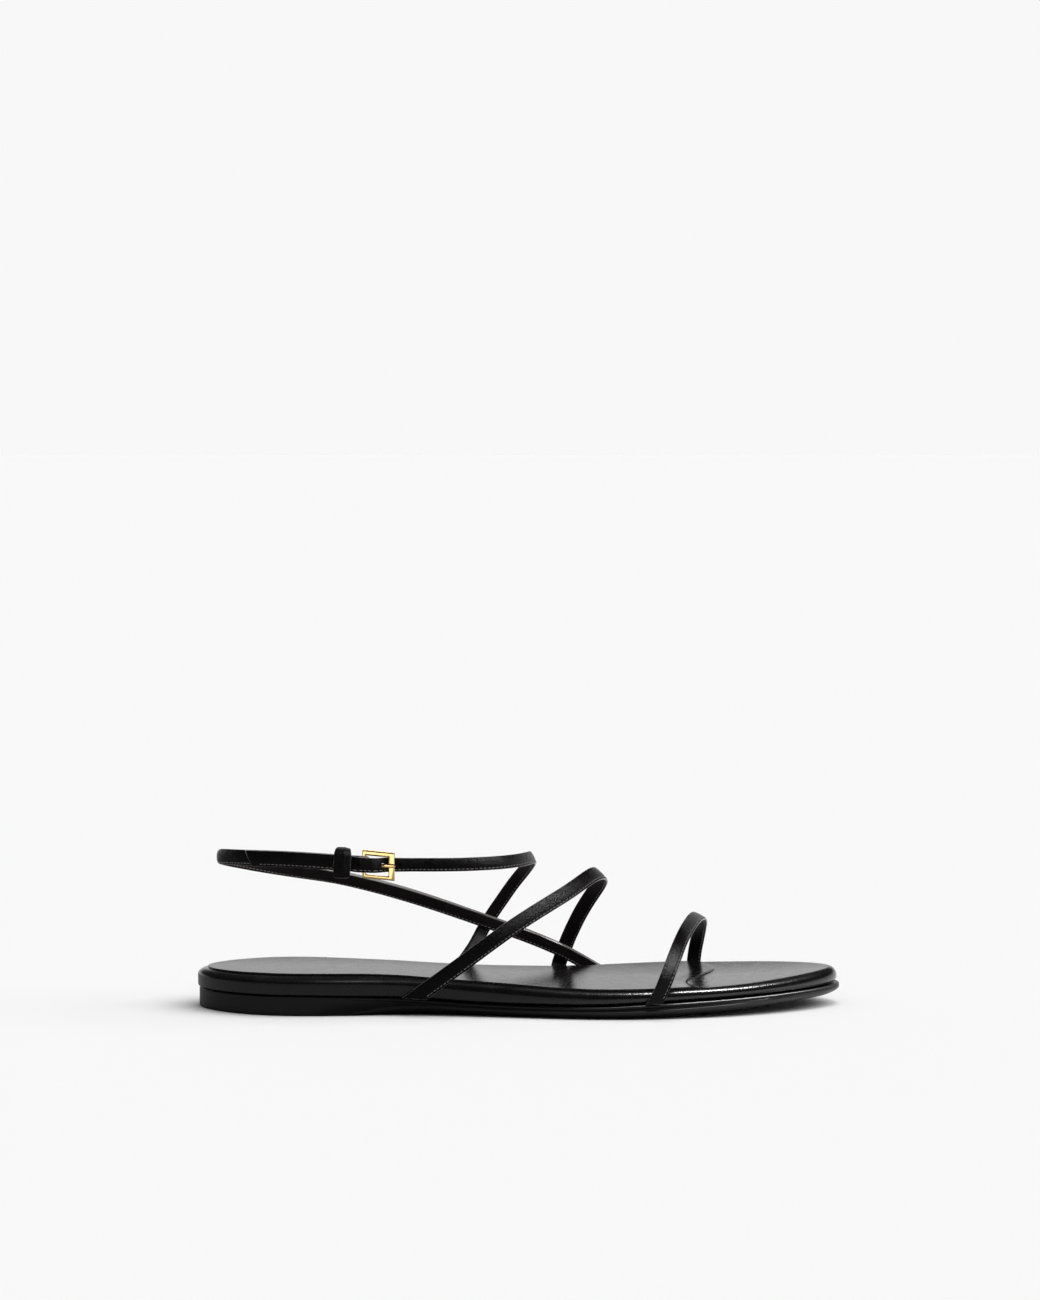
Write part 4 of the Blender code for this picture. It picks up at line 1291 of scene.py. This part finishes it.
buckle = block("buckle_frame_gold", FRAME_REAR, FRAME_FRONT, FRAME_LOW, FRAME_TOP, FRAME_THICK)
opening = block("opening", OPENING_REAR, OPENING_FRONT, OPENING_LOW, OPENING_TOP, 2 * FRAME_THICK)
bpy.ops.object.mode_set(mode="EDIT")
bpy.ops.mesh.select_all(action="DESELECT")
shape = bmesh.from_edit_mesh(opening.data)
for edge in shape.edges:
    one, two = (vert.co for vert in edge.verts)
    edge.select_set(abs(one.z - two.z) > FRAME_THICK)
bmesh.update_edit_mesh(opening.data)
bpy.ops.mesh.bevel(offset=INNER_CORNER, segments=6)
bpy.ops.object.mode_set(mode="OBJECT")
cut(buckle, opening)
rounded = buckle.modifiers.new("rounded_over", "BEVEL")
rounded.width = FRAME_ROUND
rounded.segments = 5
rounded.limit_method = "ANGLE"
rounded.angle_limit = math.radians(50)
bpy.ops.object.modifier_apply(modifier=rounded.name)

buckle_middle = ankle_line[1][BUCKLE_ROW]
upright = np.array([0.0, 0.0, 1.0])
to_buckle = Matrix.Identity(4)
for row in range(3):
    to_buckle[row][:] = (-backward[row], upright[row], fold_out[row], buckle_middle[row])
rise = (FRONT_BAR_OUT - FOLD_RADIUS) / (FRAME_FRONT - BAR_S)
leaning = Matrix.Identity(4)
leaning[1][0] = math.sin(FRAME_TILT)
leaning[1][3] = -BAR_S * math.sin(FRAME_TILT)
leaning[2][0] = rise
leaning[2][3] = FOLD_RADIUS - BAR_S * rise
buckle.data.transform(to_buckle @ leaning)
turned_out(buckle)
bpy.ops.object.shade_smooth_by_angle(angle=math.radians(35))

# Polished gold plate: a bright mirror with faint buffing marks.
gold, tree, shader = new_material("polished_gold_plate")
set_sockets(shader, {"Base Color": colour("#fbd992"), "Metallic": 1.0})
place = add(tree, "ShaderNodeTexCoord")
buffing = add(
    tree,
    "ShaderNodeTexNoise",
    {"Scale": 1 / (0.7 * MM), "Detail": 3.0},
    {"Vector": place.outputs["Object"]},
)
polish = add(
    tree, "ShaderNodeMapRange", {"To Min": 0.14, "To Max": 0.26}, {"Value": buffing.outputs["Fac"]},
)
tree.links.new(polish.outputs["Result"], shader.inputs["Roughness"])
buckle.data.materials.append(gold)
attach(buckle, "root")
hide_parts("buckle_frame")


# Buckle prong: a flat gold-plated wire, bent to a hook. It is curled round the frame's rear bar, comes out
# through the strap's hole and lies over the front bar.
PRONG_HALF_THICK = 0.0005
PRONG_RADIUS = BAR_HALF + GAP + PRONG_HALF_THICK
PRONG_RINGS = 90
PRONG_TIP = 0.0006
PRONG_SQUARE = 0.6
PRONG_CURL = range(-40, -271, -23)
PRONG_NUDGE = 1e-6
POLE = 1e-9
PRONG_ROUTE = (
    ("s", "out"),
    (-0.0030, 0.00315),
    (-0.0008, 0.00290),
    (0.0010, 0.00350),
    (0.0026, 0.00425),
    (0.0050, 0.00435),
    (0.0066, 0.00415),
)
prong_line = []
for turn in PRONG_CURL:
    s = BAR_S + PRONG_RADIUS * math.cos(math.radians(turn))
    prong_line.append((s, FOLD_RADIUS + PRONG_RADIUS * math.sin(math.radians(turn))))
prong_line = np.array(prong_line + list(PRONG_ROUTE[1:]))
run = chords(prong_line)
prong = begun("buckle_prong_gold", ball, segments=20, ring_count=PRONG_RINGS, radius=1)
globe = flat_places(prong)
share = np.arccos(np.clip(globe[:, 2], -1.0, 1.0)) / math.pi
gone = share * run[-1]
girth = np.maximum(np.hypot(globe[:, 0], globe[:, 1]), POLE)
from_end = np.clip(np.minimum(gone, run[-1] - gone) / PRONG_TIP, 0.0, 1.0)
full = np.sqrt(1 - (1 - from_end) ** 2)
line = cubic(run, prong_line, gone)
way = unit(cubic(run, prong_line, gone + PRONG_NUDGE) - cubic(run, prong_line, gone - PRONG_NUDGE))
round_b = globe[:, 0] / girth
round_h = globe[:, 1] / girth
b = PRONG_HALF_WIDTH * full * np.sign(round_b) * np.abs(round_b) ** PRONG_SQUARE
h = PRONG_HALF_THICK * full * np.sign(round_h) * np.abs(round_h) ** PRONG_SQUARE
set_places(prong, np.column_stack([line[:, 0] - way[:, 1] * h, b, line[:, 1] + way[:, 0] * h]))
prong.data.transform(to_buckle)
turned_out(prong)
bpy.ops.object.shade_smooth()
prong.data.materials.append(gold)
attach(prong, "root")
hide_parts("buckle_prong")


# Keeper: a loose loop of the strap's nappa round the sling and the strap's end. Its two ends are butted at
# the back, and a soft crease runs down its face.
KEEPER_MIDDLE = 0.0135
KEEPER_WIDTH = 0.0066
KEEPER_THICK = 0.0011
KEEPER_HALF_HEIGHT = 0.0048
KEEPER_INNER = -GAP
KEEPER_OUTER = 2 * STRAP_THICK + 3 * GAP
KEEPER_CORNER = 0.0016
CORNER_TURNS = range(0, 91, 10)
KEEPER_SEAM = 3.0
KEEPER_NARROW = 0.78
KEEPER_FORM = {"crown": 0.00012, "inner": 0.10, "skive": 0.10, "turned": 0.0}
KEEPER_CREASE = -0.16
CREASE_HALF = 0.08
CREASE_HIGH = 0.00010
KEEPER_DROP = 0.00030

_, keeper_at, keeper_out, keeper_up = (
    values[0] for values in route(ankle_line, middle + KEEPER_MIDDLE, middle + KEEPER_MIDDLE + STEP)
)
keeper_up = keeper_up * np.sign(keeper_up[2])
keeper_along = np.cross(keeper_out, keeper_up)
mid_n = (KEEPER_INNER + KEEPER_OUTER) / 2
half_n = (KEEPER_OUTER - KEEPER_INNER) / 2
loop = []
for quarter, (sb, sn) in enumerate(((-1, -1), (1, -1), (1, 1), (-1, 1))):
    for turn in CORNER_TURNS:
        turn = math.radians(turn + 90 * quarter - 180)
        b = sb * (KEEPER_HALF_HEIGHT - KEEPER_CORNER) + KEEPER_CORNER * math.cos(turn)
        n = mid_n + sn * (half_n - KEEPER_CORNER) + KEEPER_CORNER * math.sin(turn)
        looks = keeper_up * math.cos(turn) + keeper_out * math.sin(turn)
        loop.append((keeper_at + keeper_up * b + keeper_out * n, looks))
loop_points = np.array([place for place, looks in loop])
loop_looks = np.array([looks for place, looks in loop])
first = len(CORNER_TURNS)
butt = (loop_points[first - 1] + loop_points[first]) / 2
butt_looks = unit((loop_looks[first - 1] + loop_looks[first])[None])
loop_points = np.vstack([butt, loop_points[first:], loop_points[:first], butt])
loop_looks = np.vstack([butt_looks, loop_looks[first:], loop_looks[:first], butt_looks])
keeper_way = (chords(loop_points), loop_points, loop_looks, np.array([keeper_along] * len(loop_points)))
in_face = np.clip(loop_looks @ keeper_out, 0.0, 1.0)
keeper_half = (KEEPER_NARROW + (1 - KEEPER_NARROW) * in_face) * KEEPER_WIDTH / 2
keeper_thick = np.full(len(loop_points), KEEPER_THICK)
keeper = strip("keeper_loop", keeper_way[0][-1] - 2 * CLEAR, CLEAR)
shaped(keeper, keeper_way, keeper_half, keeper_thick, KEEPER_SEAM, KEEPER_FORM)
flat = flat_places(keeper)
outer = flat[:, 2] > KEEPER_THICK / 2
across = flat[:, 1] / np.interp(flat[:, 0], keeper_way[0], keeper_half)
crease = CREASE_HIGH * np.exp(-(((across - KEEPER_CREASE) / CREASE_HALF) ** 2))
fall = np.clip((KEEPER_CREASE - across) / (1 + KEEPER_CREASE), 0.0, 1.0)
flat[:, 2] += np.where(outer, crease - KEEPER_DROP * fall, 0.0)
set_places(keeper, flat)
turned_out(keeper)
dress(keeper, keeper_way, keeper_half, KEEPER_SEAM, KEEPER_FORM)
fitted(keeper, keeper_way, (), "strap_keeper")


# Studio: a plain pale floor in a dim room with a pale band low behind. Three wide suns light it softly from
# above, and soft boxes, each for its own pieces, give the leather and the gold their gloss.
FLOOR_SPAN = 60.0
FLOOR_RIGHT = (0.8, 0.6, 0.0)
DIM_LEFT, DIM_RIGHT = -0.06, 0.08
FADING = {"To Min": 1.0, "To Max": 0.0}
floor = begun("studio_floor", bpy.ops.mesh.primitive_plane_add, size=FLOOR_SPAN)

# Matt floor paint: even and pale to the eye. What the gloss mirrors of it gets dimmer towards the left.
floor_paint, tree, shader = new_material("pale_floor")
set_sockets(shader, {"Roughness": 1.0, "Specular IOR Level": 0.0})
ray = add(tree, "ShaderNodeLightPath")
place = add(tree, "ShaderNodeTexCoord")
to_right = add(
    tree,
    "ShaderNodeVectorMath",
    {"operation": "DOT_PRODUCT", 1: FLOOR_RIGHT},
    {0: place.outputs["Object"]},
)
bright = add(
    tree,
    "ShaderNodeMapRange",
    {"interpolation_type": "SMOOTHSTEP", "From Min": DIM_LEFT, "From Max": DIM_RIGHT, **FADING},
    {"Value": to_right.outputs["Value"]},
)
shade = add(
    tree,
    "ShaderNodeMath",
    {"operation": "MULTIPLY"},
    {0: bright.outputs["Result"], 1: ray.outputs["Is Glossy Ray"]},
)
dimmed = add(
    tree,
    "ShaderNodeMix",
    {"data_type": "RGBA", 6: colour("#f4f4f4"), 7: colour("#868686")},
    {"Factor": shade.outputs["Value"]},
)
tree.links.new(dimmed.outputs[2], shader.inputs["Base Color"])
floor.data.materials.append(floor_paint)

# The room that the gloss mirrors: dim, with a pale band low behind. The camera sees an even pale backdrop.
BAND_WAY = (0.34, 0.94, 0.0)
BAND_SIDE, BAND_FULL = -0.15, 0.40
BAND_TOP, BAND_END = 0.16, 0.36
world = bpy.data.worlds.new("studio")
bpy.context.scene.world = world
world.use_nodes = True
tree = world.node_tree
backing = tree.nodes["Background"]
way = add(tree, "ShaderNodeTexCoord")
behind = add(
    tree, "ShaderNodeVectorMath", {"operation": "DOT_PRODUCT", 1: BAND_WAY}, {0: way.outputs["Generated"]},
)
reach = add(
    tree,
    "ShaderNodeMapRange",
    {"interpolation_type": "SMOOTHSTEP", "From Min": BAND_SIDE, "From Max": BAND_FULL},
    {"Value": behind.outputs["Value"]},
)
split = add(tree, "ShaderNodeSeparateXYZ", links={"Vector": way.outputs["Generated"]})
height = add(
    tree,
    "ShaderNodeMapRange",
    {"interpolation_type": "SMOOTHSTEP", "From Min": BAND_TOP, "From Max": BAND_END, **FADING},
    {"Value": split.outputs["Z"]},
)
lit = add(
    tree,
    "ShaderNodeMath",
    {"operation": "MULTIPLY"},
    {0: reach.outputs["Result"], 1: height.outputs["Result"]},
)
ray = add(tree, "ShaderNodeLightPath")
seen_glow = add(
    tree,
    "ShaderNodeMix",
    {"data_type": "RGBA", 6: colour("#2a2a2a"), 7: colour("#e4e4e4")},
    {"Factor": lit.outputs["Value"]},
)
glow = add(
    tree,
    "ShaderNodeMix",
    {"data_type": "RGBA", 7: colour("#f8f8f8")},
    {"Factor": ray.outputs["Is Camera Ray"], 6: seen_glow.outputs[2]},
)
tree.links.new(glow.outputs[2], backing.inputs["Color"])

SUNS = (
    ("name", "lean", "spread", "power"),
    ("overhead", 12, 40, 1.36),
    ("right_fill", 50, 40, 1.70),
    ("left_fill", -10, 120, 0.72),
)
SUN_HEIGHT = 2.0
for name, lean, spread, power in SUNS[1:]:
    tipped = (0.0, math.radians(lean), 0.0)
    bpy.ops.object.light_add(type="SUN", location=(0.0, 0.0, SUN_HEIGHT), rotation=tipped)
    fill = bpy.context.object
    fill.name = name
    fill.data.energy = power
    fill.data.angle = math.radians(spread)
    fill.visible_glossy = False

straps = (toe, sling, ankle, instep, keeper)
gold_pieces = (buckle, prong)
TOE_AIM = (0.057, -0.042, 0.020)
SOFT_BOXES = (
    ("name", "place", "aim", "wide", "high", "power", "pieces"),
    ("strap_box", (0.687, -0.688, 0.734), AIM, 0.80, 0.20, 21.0, straps),
    ("toe_card", (0.278, -0.928, 0.427), TOE_AIM, 0.20, 0.30, 12.0, (toe,)),
    ("top_box", (0.0, 0.90, 1.25), AIM, 0.80, 0.50, 6.0, straps[1:] + gold_pieces),
    ("buckle_card", (-0.11, -0.42, 0.050), buckle_middle, 0.40, 0.16, 0.34, gold_pieces),
    ("wrap_strip", (0.344, 0.066, 1.034), AIM, 0.12, 0.34, 11.0, (footbed,)),
    ("lip_strip", (0.486, 0.066, 0.975), AIM, 0.12, 0.65, 36.0, (outsole,)),
)
for name, place, aim, wide, high, power, pieces in SOFT_BOXES[1:]:
    bpy.ops.object.light_add(type="AREA", location=place)
    made = bpy.context.object
    made.name = name
    made.data.shape = "RECTANGLE"
    made.data.size = wide
    made.data.size_y = high
    made.data.energy = power
    made.visible_camera = False
    made.visible_diffuse = False
    made.rotation_euler = (Vector(aim) - Vector(place)).to_track_quat("-Z", "Y").to_euler()
    lit = bpy.data.collections.new(name + "_lit")
    for piece in pieces:
        lit.objects.link(piece)
    made.light_linking.receiver_collection = lit
